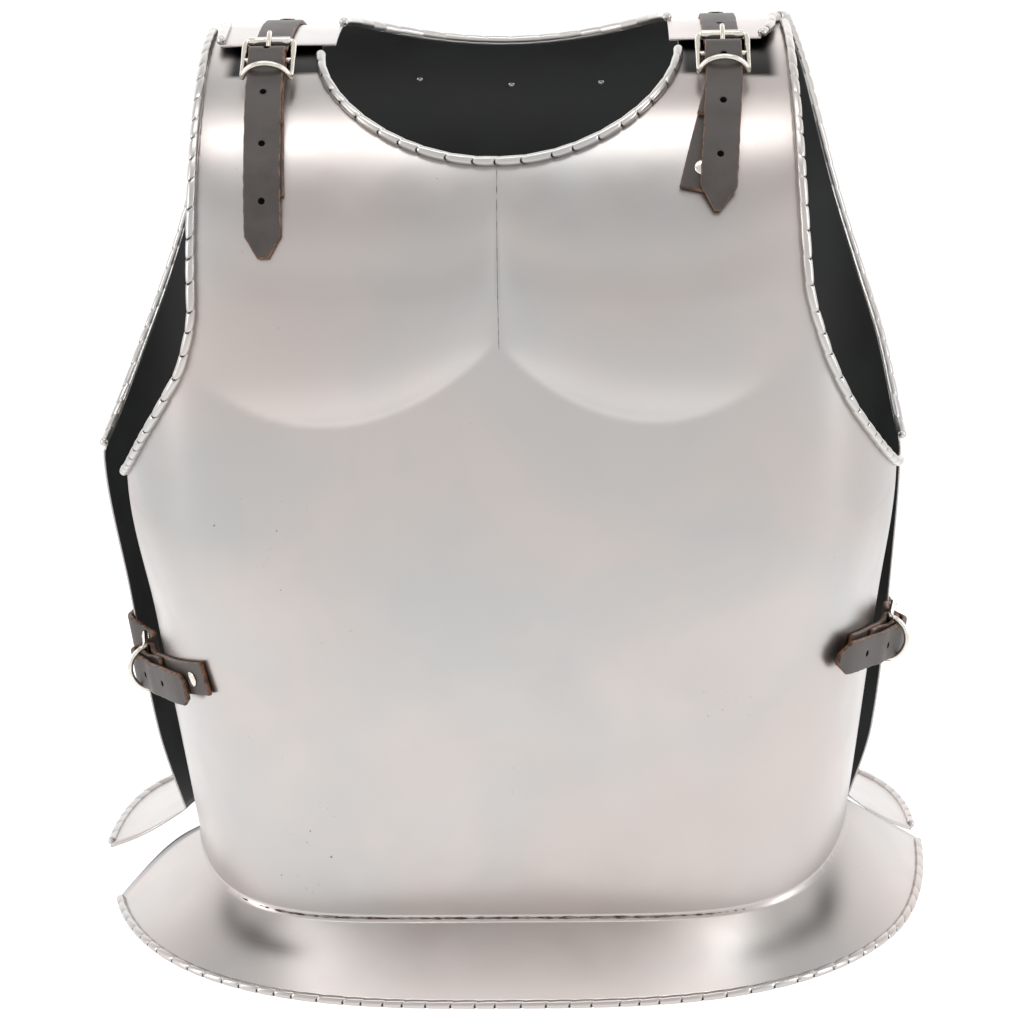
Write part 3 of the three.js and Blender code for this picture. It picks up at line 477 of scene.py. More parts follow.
def polished_steel(name, pale, cool, warm):
    """Mild steel sheet, hammered, then polished to a satin shine with an abrasive wheel: soft wide
    reflections, slow waves left by the hammer, cloudy warm and cool tints, fine hazy scratches,
    dark grime specks, painted shadow in the snips of the rolled edges, and smoky stains with a
    painted dark reflection and shadow where the sheet's attribute for them is set."""
    material, add, at = new_material(name)
    cloud = add("TexNoise", Vector=at, Scale=grain(111.1), Detail=3.0, Roughness=0.55, Distortion=0.4)
    cloud = add("MapRange", Value=cloud, From=(0.35, 0.68), **S_CURVE)
    blush = add("TexNoise", Vector=at, Scale=grain(200))
    blush = add("MapRange", Value=blush, From=(0.45, 0.75), **S_CURVE)
    speck = add("TexNoise", Vector=at, Scale=grain(2.381), Roughness=0.6)
    speck = add("MapRange", Value=speck, From=(0.70, 0.76), **S_CURVE)
    where = add("TexNoise", Vector=at, Scale=grain(76.92))
    where = add("MapRange", Value=where, From=(0.6, 0.75), **S_CURVE)
    dirt_and_snip_shadow = add("Math", operation="MULTIPLY", _0=speck, _1=where)
    # the snips' grooves, darkened as painted shadow, joined to the grime specks
    snip = add("Attribute", "Fac", attribute_name="snip")
    snip = add("MapRange", Value=snip, From=(0.35, 0.75), **S_CURVE)
    dirt_and_snip_shadow = add("Math", operation="MAXIMUM", _0=dirt_and_snip_shadow, _1=snip)
    # stains, and painted dark reflection and shadow, as set on the sheet
    stains_and_painted_dark = add("Attribute", "Fac", attribute_name="stains_and_painted_dark")
    colour = linear(pale)
    for share, tint in ((cloud, cool), (blush, warm), (dirt_and_snip_shadow, "#2a2624"), (stains_and_painted_dark, "#211f1e")):
        colour = add("Mix", **COLOURS, _0=share, _6=colour, _7=linear(tint))
    haze = add("TexNoise", Vector=at, Scale=grain(38.46), Detail=3.0, Roughness=0.55)
    rough = add("MapRange", Value=haze, From=(0.3, 0.7), To=(0.28, 0.35), **S_CURVE)
    dent = add("TexNoise", Vector=at, Scale=grain(90.91), Detail=0.0, Roughness=0.4)
    bump = add("Bump", Strength=0.3, Distance=0.0012, Height=dent)
    shader = add("BsdfPrincipled", Metallic=1.0, Base_Color=colour, Roughness=rough, Normal=bump)
    add("OutputMaterial", Surface=shader)
    return material


def weld_metal():
    """Weld metal left as it was ground: dull dark grey with brown heat tint."""
    material, add, at = new_material("ground_weld")
    heat = add("TexNoise", Vector=at, Scale=grain(6.25), Detail=3.0, Roughness=0.6)
    heat = add("MapRange", Value=heat, From=(0.4, 0.62), **S_CURVE)
    colour = add("Mix", **COLOURS, _0=heat, _6=linear("#857d77"), _7=linear("#4d3e35"))
    shader = add("BsdfPrincipled", Metallic=1.0, Roughness=0.42, Base_Color=colour)
    add("OutputMaterial", Surface=shader)
    return material


def black_lacquer():
    """Black spray lacquer on the inside of the steel: dull, slightly uneven, faintly green-grey."""
    material, add, at = new_material("black_lacquer")
    coat = add("TexNoise", Vector=at, Scale=grain(71.43), Detail=4.0, Roughness=0.6)
    rough = add("MapRange", Value=coat, From=(0.3, 0.7), To=(0.5, 0.62), **S_CURVE)
    coat = add("MapRange", Value=coat, From=(0.35, 0.7), **S_CURVE)
    colour = add("Mix", **COLOURS, _0=coat, _6=linear("#1b1c1b"), _7=linear("#242726"))
    fine = add("TexNoise", Vector=at, Scale=grain(3.846))
    bump = add("Bump", Strength=0.15, Distance=0.0003, Height=fine)
    shader = add("BsdfPrincipled", IOR=1.5, Base_Color=colour, Roughness=rough, Normal=bump)
    add("OutputMaterial", Surface=shader)
    return material


def nickel_plate():
    """Bright nickel plate on wire and stampings: warm white mirror, a little dulled by handling."""
    material, add, at = new_material("nickel_plate")
    worn = add("TexNoise", Vector=at, Scale=grain(5.556), Detail=3.0, Roughness=0.6)
    share = add("MapRange", Value=worn, From=(0.35, 0.7), **S_CURVE)
    colour = add("Mix", **COLOURS, _0=share, _6=linear("#e2dcd2"), _7=linear("#d2ccc2"))
    rough = add("MapRange", Value=worn, From=(0.3, 0.7), To=(0.16, 0.26), **S_CURVE)
    bump = add("Bump", Strength=0.12, Distance=0.0002, Height=worn)
    shader = add("BsdfPrincipled", Metallic=1.0, Base_Color=colour, Roughness=rough, Normal=bump)
    add("OutputMaterial", Surface=shader)
    return material


def strap_leather():
    """Dyed cowhide strap: dark grey-brown smooth face with fine pores and creases, raw brown cut edges
    where the dye has not gone in, and punched holes painted near black as their shadow."""
    material, add, at = new_material("dark_brown_leather")
    edge = add("Attribute", "Fac", attribute_name="cut_edge")
    hole = add("Attribute", "Fac", attribute_name="hole")
    blotch = add("TexNoise", Vector=at, Scale=grain(16.67), Detail=4.0, Roughness=0.6)
    pores = add("TexVoronoi", Vector=at, Scale=grain(1.111))
    crease = add("TexNoise", Vector=at, Scale=grain(4.167), Detail=5.0, Roughness=0.65, Distortion=0.8)
    share = add("MapRange", Value=blotch, From=(0.3, 0.75), **S_CURVE)
    face = add("Mix", **COLOURS, _0=share, _6=linear("#38322f"), _7=linear("#463f3c"))
    share = add("MapRange", Value=crease, From=(0.35, 0.65), **S_CURVE)
    raw = add("Mix", **COLOURS, _0=share, _6=linear("#24170f"), _7=linear("#7a5238"))
    fray = add("MapRange", Value=crease, From=(0.3, 0.7), To=(-0.25, 0.25), **S_CURVE)
    edge = add("Math", operation="ADD", _0=edge, _1=fray)
    edge = add("MapRange", Value=edge, From=(0.35, 0.6), **S_CURVE)
    colour = add("Mix", **COLOURS, _0=edge, _6=face, _7=raw)
    # painted shadow: the punched holes, which are not cut through the strap, darkened near black
    share = add("MapRange", Value=hole, From=(0.45, 0.6), **S_CURVE)
    colour = add("Mix", **COLOURS, _0=share, _6=colour, _7=linear("#0d0a09"))
    height = add("Math", operation="MULTIPLY_ADD", _0=pores, _1=0.35, _2=crease)
    height = add("Math", operation="MULTIPLY_ADD", _0=hole, _1=-6.0, _2=height)
    bump = add("Bump", Strength=0.3, Distance=0.0003, Height=height)
    rough = add("MapRange", Value=blotch, From=(0.3, 0.7), To=(0.48, 0.6), **S_CURVE)
    gloss = add("MapRange", Value=hole, From=(0.3, 0.6), To=(0.55, 0.0), **S_CURVE)
    shader = add("BsdfPrincipled", IOR=1.48, Base_Color=colour, Roughness=rough,
                  Specular_IOR_Level=gloss, Normal=bump)
    add("OutputMaterial", Surface=shader)
    return material


STEEL = polished_steel("polished_steel", "#bcb5b2", "#b3b2b0", "#bbb1ad")
# a paler copy of the same steel for the rolled rims: painted sheen, the rims drawn as catching more light
RIM_SHEEN_STEEL = polished_steel("polished_steel_painted_sheen", "#c4c0bc", "#bcbbba", "#c2bbb7")
WELD = weld_metal()
LACQUER = black_lacquer()
NICKEL = nickel_plate()
HIDE = strap_leather()

# ---------------------------------------------------------------- the two plates

# Painted dark reflection and shadow of the tabs' black undersides, in bands on the breastplate before the
# tabs: from one x to another, above t at each of those ends.
TAB_BANDS = table("left right t_left t_right", (-148, -80, 504, 508), (102, 162, 503, 498))
TAB_BAND_END = 8.0       # length over which a band fades in from its ends
TAB_BAND_RISE = 3.5      # and from its lower line

# Stains on the front skirt: x, half width, middle and half depth as shares of the skirt's width, strength.
STAINS = table("x reach share depth strength",
               (-147, 15, 0.38, 0.20, 0.60), (-162, 8, 0.20, 0.22, 0.35), (-128, 13, 0.46, 0.12, 0.45),
               (190, 10, 0.30, 0.26, 0.60), (174, 14, 0.48, 0.18, 0.45), (152, 14, 0.56, 0.14, 0.30))
DARK_END_U = 0.970       # where the skirt's left end turns dark: a painted dark reflection on its bent end
DARK_END_LENGTH = 0.014
DARK_END = 0.85


def tab_shade(plate, u, t):
    """Painted dark reflection and shadow before the backplate's tabs, whose undersides are black: the
    greatest over the bands of an S curve of the height over the band's sloping line, times an S curve
    of the distance inside each of its ends."""
    if plate is not FRONT:
        return 0 * t
    x = plate_point(plate, u, t)[..., 0][..., None]
    low, high, t_low, t_high = TAB_BANDS.values()
    edge = t_low + (t_high - t_low) * (x - low) / (high - low)
    inside = ease((x - low) / TAB_BAND_END) * ease((high - x) / TAB_BAND_END)
    return np.max(ease((t[..., None] - edge) / TAB_BAND_RISE) * inside, axis=-1)


def skirt_stains_and_painted_reflection(plate, points, u, v):
    """Smoky stains on the front skirt: a sum of bells over x and the share v of its width, held at 1;
    and a painted dark reflection on its left end, by an S curve of u that is weaker towards the hem."""
    if plate is not FRONT:
        return 0 * points[..., 0]
    x = points[..., 0][..., None]
    middle, reach, low, depth, strength = STAINS.values()
    bells = strength * np.exp(-((x - middle) / reach) ** 2 - ((v[..., None] - low) / depth) ** 2)
    # painted dark reflection on the skirt's bent left end
    end = DARK_END * ease((-u - DARK_END_U) / DARK_END_LENGTH) * (1 - 0.8 * v)
    return np.minimum(end + bells.sum(axis=-1), 1)


def sheet_mesh(name, plate):
    """The outer face of a plate: the points of its body, shoulder and skirt patches on both hands, with
    the stains and painted dark reflection at each of them."""
    blocks, faces, stains_and_painted_dark_lists, count = [], [], [], 0
    v = np.linspace(0, 1, SHEET["skirt"] + 1)[:, None]
    for hand in (-1, 1):
        flip = hand * plate["facing"] > 0
        u = hand * np.linspace(0, 1, SHEET["across"] + 1)[None, :]
        patches = [(plate_point(plate, *places), tab_shade(plate, *places), flip)
                   for places in (np.moveaxis(body_patch(plate, hand), -1, 0),
                                  np.moveaxis(shoulder_patch(plate, hand), -1, 0))]
        skirt = skirt_point(plate, u, v)
        patches.append((skirt, skirt_stains_and_painted_reflection(plate, skirt, u, v), not flip))
        for points, stains_and_painted_dark, turned in patches:
            faces.append(grid_faces(*points.shape[:2], flip=turned) + count)
            blocks.append(points.reshape(-1, 3))
            stains_and_painted_dark_lists.append(stains_and_painted_dark.ravel())
            count += len(blocks[-1])
    return weld(new_mesh(name, np.concatenate(blocks), np.concatenate(faces),
                         attributes={"stains_and_painted_dark": np.concatenate(stains_and_painted_dark_lists)}))


def add_wall(piece):
    """The sheet's thickness, added inwards; the inner side takes the second material."""
    wall = piece.modifiers.new("wall", "SOLIDIFY")
    wall.thickness = WALL * 0.001
    wall.offset = -1
    wall.material_offset = 1


def rim_centre(plate, places):
    """Middle of a rolled edge: on the sheet's edge, moved out so that it is flush with the inner side."""
    u, t = places[..., 0], places[..., 1]
    return plate_point(plate, u, t) + plate_normal(plate, u, t) * (RIM_RADIUS - WALL)


def rim_lines(plate):
    """Neckline, both armholes and the hem, as lines of points."""
    k = np.linspace(0, 1, 240)
    half = np.where(k < 0.5, -1.0, 1.0)
    yield "neck_roll", rim_centre(plate, neckline(plate, half, math.pi * np.minimum(k, 1 - k)))
    for hand, side in ((-1, "left"), (1, "right")):
        t0 = plate[ARMHOLE[hand]]["t"][0] + 1
        t = t0 + (plate["rim_end"] - t0) * k
        yield f"armhole_roll_{side}", rim_centre(plate, armhole(plate, hand, t))
    yield "hem_roll", skirt_point(plate, -0.995 + 1.99 * k, np.ones(240))


RIM_STEP = 0.7           # between the rounds of a rolled rim
BEAD_STEP = 0.8          # and of a weld
SNIP_NEAREST, SNIP_FURTHEST = 10.5, 16.5    # spacing of the snips along an edge
SNIP_SLANT = 2.4
SNIP_HALF_WIDTH = 0.85
SNIP_DEPTH = 0.6
SNIP_SINK = 0.35         # how far a length of roll bends in towards its snips


def rolled_rim(name, line):
    """A sheet edge rolled into a round. At s along it and turn a round it the radius is RIM_RADIUS, less
    a bell-shaped groove where s + SNIP_SLANT sin a meets a snip: the edge is snipped before it is
    rolled, and each length between snips stands up a little. Both ends close in a half ball."""
    rng = np.random.default_rng(len(name))
    line = evenly(line, int(lengths(line)[-1] / RIM_STEP))
    s = lengths(line)[:, None]
    tangent, side, up = frames_along(line, unit(line * (1, 1, 0)))
    a = np.linspace(0, 2 * math.pi, 16, endpoint=False)
    snips = np.cumsum(rng.uniform(SNIP_NEAREST, SNIP_FURTHEST, int(s[-1, 0] / SNIP_NEAREST)))
    near = np.abs((s + SNIP_SLANT * np.sin(a))[..., None] - snips).min(-1)
    groove = np.exp(-(near / SNIP_HALF_WIDTH) ** 2) * (0.5 + 0.5 * np.sin(a + 0.5)) ** 1.5
    radius = RIM_RADIUS - SNIP_SINK * np.exp(-near / 3) - SNIP_DEPTH * groove
    to_end = np.minimum(s, s[-1] - s) / RIM_RADIUS
    radius = radius * np.sqrt(1 - np.clip(1 - to_end, 0, 1) ** 2)
    points = rings(line, side, up, a, radius)
    points[..., 2] = np.maximum(points[..., 2], 0)
    faces = grid_faces(*points.shape[:2], wrap_columns=True)
    # the groove is also kept as the snip attribute, which the steel darkens as painted shadow
    return outward(weld(new_mesh(name, points, faces, attributes={"snip": groove})))


def weld_bead(name, line, radius):
    """A thin line of weld: a round whose radius and height run between random values at every third
    point along the line."""
    rng = np.random.default_rng(len(name))
    line = evenly(line, int(lengths(line)[-1] / BEAD_STEP))
    at, knots = np.arange(len(line)), np.linspace(0, len(line), len(line) // 3)
    lumps = np.interp(at, knots, rng.uniform(0.45, 1.2, len(knots)))
    wander = np.interp(at, knots, rng.uniform(-0.25, 0.25, len(knots)))
    line = line + wander[:, None] * np.array([0, 0, 1])
    return tube(name, line, (0.1, -1, 0.2), radius * lumps, 8)


for label, plate in (("breastplate", FRONT), ("backplate", BACK)):
    sheet = sheet_mesh(f"{label}_sheet", plate)
    add_wall(add_piece(sheet, "polished_steel", [STEEL, LACQUER], label))
    for kind, line in rim_lines(plate):
        rim = rolled_rim(f"{label}_{kind}", line)
        # the hem's rim takes the plain steel, the others the paler copy with its painted sheen
        add_piece(rim, "polished_steel", [STEEL if kind == "hem_roll" else RIM_SHEEN_STEEL])

waist = plate_point(FRONT, np.linspace(-0.97, 0.97, 600), np.zeros(600))
add_piece(weld_bead("waist_weld", waist, 0.95), "polished_steel", [WELD])
seam_t = np.linspace(443, 345, 200)     # from the neck's rim down to the breasts' foot
seam = plate_point(FRONT, u_at_x(FRONT, FRONT["middle_x"], seam_t), seam_t)
add_piece(weld_bead("centre_weld", seam, 0.22), "polished_steel", [WELD])

# ---------------------------------------------------------------- straps and buckles

BUCKLE_WIDTH = 30.0
WIRE = 1.6                  # radius of the buckle's wire
ROLLER = 2.4                # radius of the roller on the end bar
PIN = 1.35                  # radius of the tongue
END_BAR = -15.7             # from the centre bar, along the strap
BOW_BAR = 15.3
BOW_HEIGHT = 11.5
BAR_LIFT = 9.8              # centre bar over the sheet
STRAIGHT = 18.0             # length beyond the centre bar before a strap drifts aside
FOLD_RIVET = 37.0           # from the centre bar
CHAPE_LIFT = 2.2
CHAPE_RIVET_INSET = 13.0    # from the chape's end
CUT_EDGE = 0.7              # depth of a strap's rounded cut edge
HOLE_RADIUS = 1.9
HALF_LEATHER = LEATHER / 2
FOLD = WIRE + 2 * GAP + HALF_LEATHER

# Heights of the straps' middle layers over the breastplate, by distance in front of the centre bar.
UPPER_CHAPE = table("along lift", (8, 12.2), (17, 9.4), (26, 6.6), (34, 5.6), (45, 5.5))
LOWER_CHAPE = table("along lift", (8, 6.1), (17, 4.4), (26, 3.1), (34, 2.4))
BILLET = table("along lift", (28, 12.4), (40, 11.4), (50, 9.4), (62, 8.2), (74, 7.6), (84, 6.6),
               (96, 4.4), (110, 2.8), (126, 2.4))
HOLES_FROM_TIP = 31 + 33 * np.arange(5)   # punched holes in a billet


def ground_line(plate, u, t):
    """A line on a plate: its points, outward normals and distances along it."""
    points = plate_point(plate, u, t)
    return points, plate_normal(plate, u, t), lengths(points)


def over(ground, along, lift):
    """Places so far along a ground line, lifted off the sheet."""
    points, normals, distance = ground
    spot = np.stack([np.interp(along, distance, points[:, n]) for n in range(3)], -1)
    normal = unit(np.stack([np.interp(along, distance, normals[:, n]) for n in range(3)], -1))
    return spot + normal * np.asarray(lift, float)[..., None]


class BuckleFrame:
    """Buckle coordinates: a from the roller towards the bow, b across, c outwards."""

    def __init__(self, centre, forward, outward):
        self.outward = unit(outward)
        self.forward = unit(forward)
        self.across = unit(np.cross(self.outward, self.forward))
        self.centre = centre

    def at(self, points):
        a, b, c = np.asarray(points, float).T
        return (self.centre + a[:, None] * self.forward + b[:, None] * self.across
                + c[:, None] * self.outward)


def strap_mesh(name, line, across, half_width, holes=()):
    """A strap over (s, w): at s along the line it is a flat bar, its width lying along one direction;
    half_width(distance from the start, distance from the end) gives its half width there, and its two
    cut edges are half ellipses CUT_EDGE deep."""
    line = evenly(line, int(lengths(line)[-1]))
    along = lengths(line)
    tangent = unit(np.gradient(line, axis=0))
    thick = unit(np.cross(tangent, across))
    side = unit(np.cross(thick, tangent))
    half = half_width(along, along[-1] - along) - CUT_EDGE
    face = np.linspace(-1, 1, 21)
    turn = np.radians([60, 30, 0, -30, -60])
    none, one = 0 * face, np.ones(5)
    w = np.concatenate([face, one, face[::-1], -one])
    out = CUT_EDGE * np.concatenate([none, np.cos(turn), none, -np.cos(turn)])
    high = np.concatenate([none + HALF_LEATHER, HALF_LEATHER * np.sin(turn),
                           none - HALF_LEATHER, HALF_LEATHER * np.sin(turn[::-1])])
    cut_edge = np.broadcast_to(np.concatenate([none, one, none, one]), (len(line), len(w))).copy()
    cut_edge[0] = cut_edge[-1] = 1.0
    width = half[:, None] * w + out
    points = line[:, None] + side[:, None] * width[..., None] + thick[:, None] * high[None, :, None]
    hole = np.zeros(width.shape)
    for place in holes:
        hole = np.maximum(hole, 1.5 - np.hypot(along[-1] - along[:, None] - place, width) / HOLE_RADIUS)
    hole = np.where(cut_edge > 0, 0, hole)
    faces = grid_faces(len(points), points.shape[1], wrap_columns=True)
    return outward(new_mesh(name, points, faces, attributes={"cut_edge": cut_edge, "hole": hole}), close=True)


def square_end(start, end):
    """Full width all along."""
    return np.full(start.shape, STRAP_WIDTH / 2)


def cut_tip(length, blunt):
    """Full width, a little ragged, then two straight cuts over the last length down to a blunt end."""
    def half_width(start, end):
        rng = np.random.default_rng(5)
        ragged = np.interp(start, np.linspace(0, start[-1], 60), rng.uniform(-0.25, 0.15, 60))
        share = np.clip(end / length, 0, 1)
        return blunt + (STRAP_WIDTH / 2 - blunt) * share + ragged
    return half_width


def merged(name, meshes):
    """Several meshes as one."""
    work = bmesh.new()
    for mesh in meshes:
        work.from_mesh(mesh)
    whole = bpy.data.meshes.new(name)
    work.to_mesh(whole)
    work.free()
    whole.polygons.foreach_set("use_smooth", np.ones(len(whole.polygons), bool))
    return whole


def lathe(name, place, axis, profile, sides=40):
    """A profile of (radius, height) pairs turned about an axis through a place."""
    axis = unit(np.asarray(axis, float))
    side = unit(np.cross(axis, (0.3, 0.2, 0.9)))
    up = np.cross(axis, side)
    r, h = np.asarray(profile, float).T
    angle = np.linspace(0, 2 * math.pi, sides, endpoint=False)
    ring = side * np.cos(angle)[:, None] + up * np.sin(angle)[:, None]
    points = place + r[:, None, None] * ring[None] + h[:, None, None] * axis
    return outward(weld(new_mesh(name, points, grid_faces(len(r), sides, wrap_columns=True))))


def rivet_profile(bottom, top):
    """A tubular rivet as (radius, height) pairs: burr, stem, and a head with a quarter ellipse of dome."""
    burr, stem = 3.6, 2
    rise = np.linspace(0, math.pi / 2, 8)
    dome = [(4.5 * math.cos(a), top + 0.35 + 0.95 * math.sin(a)) for a in rise]
    return ([(0, bottom - 1.1), (burr * 0.8, bottom - 1.1), (burr, bottom - 0.7), (burr, bottom),
             (stem, bottom), (stem, top), (4.3, top), (4.5, top + 0.15)] + dome)


def buckle_mesh(name, buckle):
    """A wire ring, bowed up where the strap's end passes under it, and its centre bar."""
    side, corner = BUCKLE_WIDTH / 2 - WIRE, 2.6
    half = [(END_BAR, 0, 0), (END_BAR, side - corner, 0), (END_BAR + 0.8, side - 0.7, 0),
            (END_BAR + corner + 0.4, side, 0), (0, side, 0), (BOW_BAR - 4, side, 0.2),
            (BOW_BAR - 0.9, side - 0.1, 1.0), (BOW_BAR, side - 0.8, 3.4), (BOW_BAR, side - 3.6, 7.6),
            (BOW_BAR, side - 8.0, 10.4), (BOW_BAR, 0, BOW_HEIGHT)]
    other = [(a, -b, c) for a, b, c in half[::-1]]
    ring = spline(buckle.at(half + other[1:]), 220)[:-1]
    hint = buckle.outward + 0.31 * buckle.forward + 0.17 * buckle.across    # never along the wire
    bar = spline(buckle.at([(0, -side, 0), (0, 0, 0), (0, side, 0)]), 12)
    return merged(name, [tube(name + "_ring", ring, hint, WIRE, closed=True),
                         tube(name + "_bar", bar, buckle.outward, WIRE - 0.1)])


def tongue_line(at):
    """The tongue's middle line: a loop round the centre bar, then along and over the roller."""
    top = ROLLER + GAP + 1.0
    loop = [(2.9 * math.cos(a), 0, 2.9 * math.sin(a)) for a in np.radians([250, 290, 330, 10, 50, 90])]
    return spline(at(loop + [(-6, 0, 3.2), (END_BAR + 4, 0, top - 0.1), (END_BAR, 0, top),
                             (END_BAR - 3.4, 0, top - 0.5)]), 60)


def strap_set(name, buckle, grounds, back_points, back_spot, chape_reach, billet_reach, tip):
    """A fastened strap: the chape folded round the buckle's centre bar and laid back on the breastplate,
    the billet from its rivet on the backplate through the buckle, with the buckle and the rivets."""
    at, across = buckle.at, buckle.across
    chape_ground, billet_ground = grounds
    angle = np.radians([90, 120, 150, 180, 210, 240, 270])
    fold = at(np.stack([FOLD * np.cos(angle), 0 * angle, FOLD * np.sin(angle)], -1))
    upper = over(chape_ground, UPPER_CHAPE["along"], UPPER_CHAPE["lift"])[::-1]
    lower = over(chape_ground, LOWER_CHAPE["along"], LOWER_CHAPE["lift"])
    lower_end = LOWER_CHAPE["along"][-1]
    flat = lower_end + (chape_reach - lower_end) * np.array([0.25, 0.5, 0.75, 1])
    flat = over(chape_ground, flat, 0 * flat + CHAPE_LIFT)
    chape_line = spline(np.concatenate([upper, fold, lower, flat]), 400)
    through = at([(END_BAR - 6, 0, -4.9), (END_BAR, 0, -4.7), (END_BAR + 3, 0, -4), (-5, 0, 4.2),
                  (0, 0, 8.0), (8, 0, 7.6), (BOW_BAR, 0, 5.2)])
    free = np.linspace(BILLET["along"][0], billet_reach, 7)
    free = over(billet_ground, free, column(BILLET, "lift", free, "along"))
    billet_line = spline(np.concatenate([back_points, through, free]), 500)
    chape = strap_mesh(f"{name}_chape", chape_line, across, square_end)
    add_piece(chape, "dark_brown_leather", [HIDE], f"{name}_chape_strap")
    billet = strap_mesh(f"{name}_billet", billet_line, across, tip, HOLES_FROM_TIP)
    add_piece(billet, "dark_brown_leather", [HIDE], f"{name}_billet_strap")

    def spot(along):
        place = over(chape_ground, along, 0.0)
        return place, unit(over(chape_ground, along, 1.0) - place)

    end = BUCKLE_WIDTH / 2 - 2 * WIRE - GAP
    roll = [(WIRE + 0.2, -end + 0.3), (ROLLER - 0.3, -end), (ROLLER, -end + 0.4), (ROLLER, 0),
            (ROLLER, end - 0.4), (ROLLER - 0.3, end), (WIRE + 0.2, end - 0.3), (WIRE + 0.2, -end + 0.3)]
    fold_head = [(0, 0.8), (2, 0.8), (2, 7.0), (4.3, 7.0), (4.5, 7.2), (4.2, 7.8), (2.6, 8.25), (0, 8.4)]
    chape_spot = spot(chape_reach - CHAPE_RIVET_INSET)
    for mesh, stands_for in (
            (buckle_mesh(f"{name}_buckle_wire", buckle), "buckle"),
            (lathe(f"{name}_roller_tube", at([(END_BAR, 0, 0)])[0], across, roll, 32), "roller"),
            (tube(f"{name}_tongue_pin", tongue_line(at), across, PIN), "tongue"),
            (lathe(f"{name}_fold_stud", *spot(FOLD_RIVET), fold_head), "fold_rivet"),
            (lathe(f"{name}_chape_stud", *chape_spot, rivet_profile(-WALL, LEATHER + 0.8)), "chape_rivet"),
            (lathe(f"{name}_billet_stud", *back_spot, rivet_profile(-WALL, LEATHER + 0.9)), "billet_rivet")):
        add_piece(mesh, "nickel_plate", [NICKEL], f"{name}_{stands_for}")


def shoulder_set(name, x, billet_drift, chape_drift, *ends):
    """A strap set that runs over a shoulder at one x, with drifts aside for each mm along its lower part."""
    bar_t = 507.5
    t = np.linspace(bar_t, 385, 61)

    def ground(drift):
        return ground_line(FRONT, u_at_x(FRONT, x + drift * np.maximum(0, bar_t - t - STRAIGHT), t), t)

    centre = over(ground(0), 0.0, BAR_LIFT)
    buckle = BuckleFrame(centre, np.array([0, -0.839, -0.545]), np.array([0, -0.545, 0.839]))
    t_back = np.array([522, 540, 556, 572, 586, 598, 608.0])
    u_back = u_at_x(BACK, x, t_back)
    back = plate_point(BACK, u_back, t_back) + plate_normal(BACK, u_back, t_back) * (GAP + HALF_LEATHER)
    t_rivet = 538.0
    u_rivet = u_at_x(BACK, x, np.array(t_rivet))
    spot = plate_point(BACK, u_rivet, t_rivet), plate_normal(BACK, u_rivet, t_rivet)
    strap_set(name, buckle, (ground(chape_drift), ground(billet_drift)), back, spot, *ends)


def side_set(name, hand, z, billet_drift, chape_drift, back_rise, *ends):
    """A strap set that runs round a side at height z, and at z + back_rise on the backplate."""
    edge_u, bar_along = 0.999, 10.0
    u = hand * np.linspace(edge_u, 0.4, 81)
    t = z - WAIST_Z
    base = ground_line(FRONT, u, np.full(81, t))

    def ground(drift):
        aside = drift * np.maximum(0, base[2] - bar_along - STRAIGHT)
        points, normals, along = ground_line(FRONT, u, t + aside)
        return points, normals, along - bar_along

    centre = over(base, bar_along, BAR_LIFT)
    outward_axis = unit(over(base, bar_along, BAR_LIFT + 1) - centre)
    upward = plate_point(FRONT, hand * 0.98, t + 5) - plate_point(FRONT, hand * 0.98, t - 5)
    buckle = BuckleFrame(centre, np.cross(-hand * upward, outward_axis), outward_axis)
    u_back = hand * np.array([0.72, 0.8, 0.88, 0.95, 0.995])
    t_back = t + back_rise
    back = plate_point(BACK, u_back, t_back) + plate_normal(BACK, u_back, t_back) * (GAP + HALF_LEATHER + 1)
    u_rivet = hand * 0.8
    spot = plate_point(BACK, u_rivet, t_back), plate_normal(BACK, u_rivet, t_back)
    strap_set(name, buckle, (ground(chape_drift), ground(billet_drift)), back, spot, *ends)


shoulder_set("shoulder_left", -120.5, 0.02, 0.045, 88.0, 122.0, cut_tip(12, 3.0))
shoulder_set("shoulder_right", 129.2, -0.08, -0.26, 90.0, 100.0, cut_tip(13, 1.8))
side_set("side_left", -1, 152, 0.16, 0.255, 3, 105.0, 86.0, cut_tip(5, 6.0))
side_set("side_right", 1, 167, 0.17, 0.2, -10, 72.0, 90.0, cut_tip(10, 3.5))

NAPE_END = [(0, -WALL - 0.9), (1.5, -WALL - 0.8), (2.1, -WALL - 0.4), (2.1, -WALL + 0.1), (0, -WALL + 0.2)]
NAPE_HEAD = [(0, -0.1), (4.4, -0.1), (4.5, 0.3), (3.6, 1.0), (2.0, 1.4), (0, 1.5)]
for n, (x, t) in enumerate(((-49, 455), (7, 449), (62, 450)), 1):
    u = u_at_x(BACK, x, np.array(float(t)))
    spot = plate_point(BACK, u, t), plate_normal(BACK, u, t)
    add_piece(lathe(f"nape_head_{n}", *spot, NAPE_HEAD), "nickel_plate", [NICKEL], f"nape_rivet_{n}")
    add_piece(lathe(f"nape_end_{n}", *spot, NAPE_END), "polished_steel", [STEEL])

# ---------------------------------------------------------------- floor, light and camera


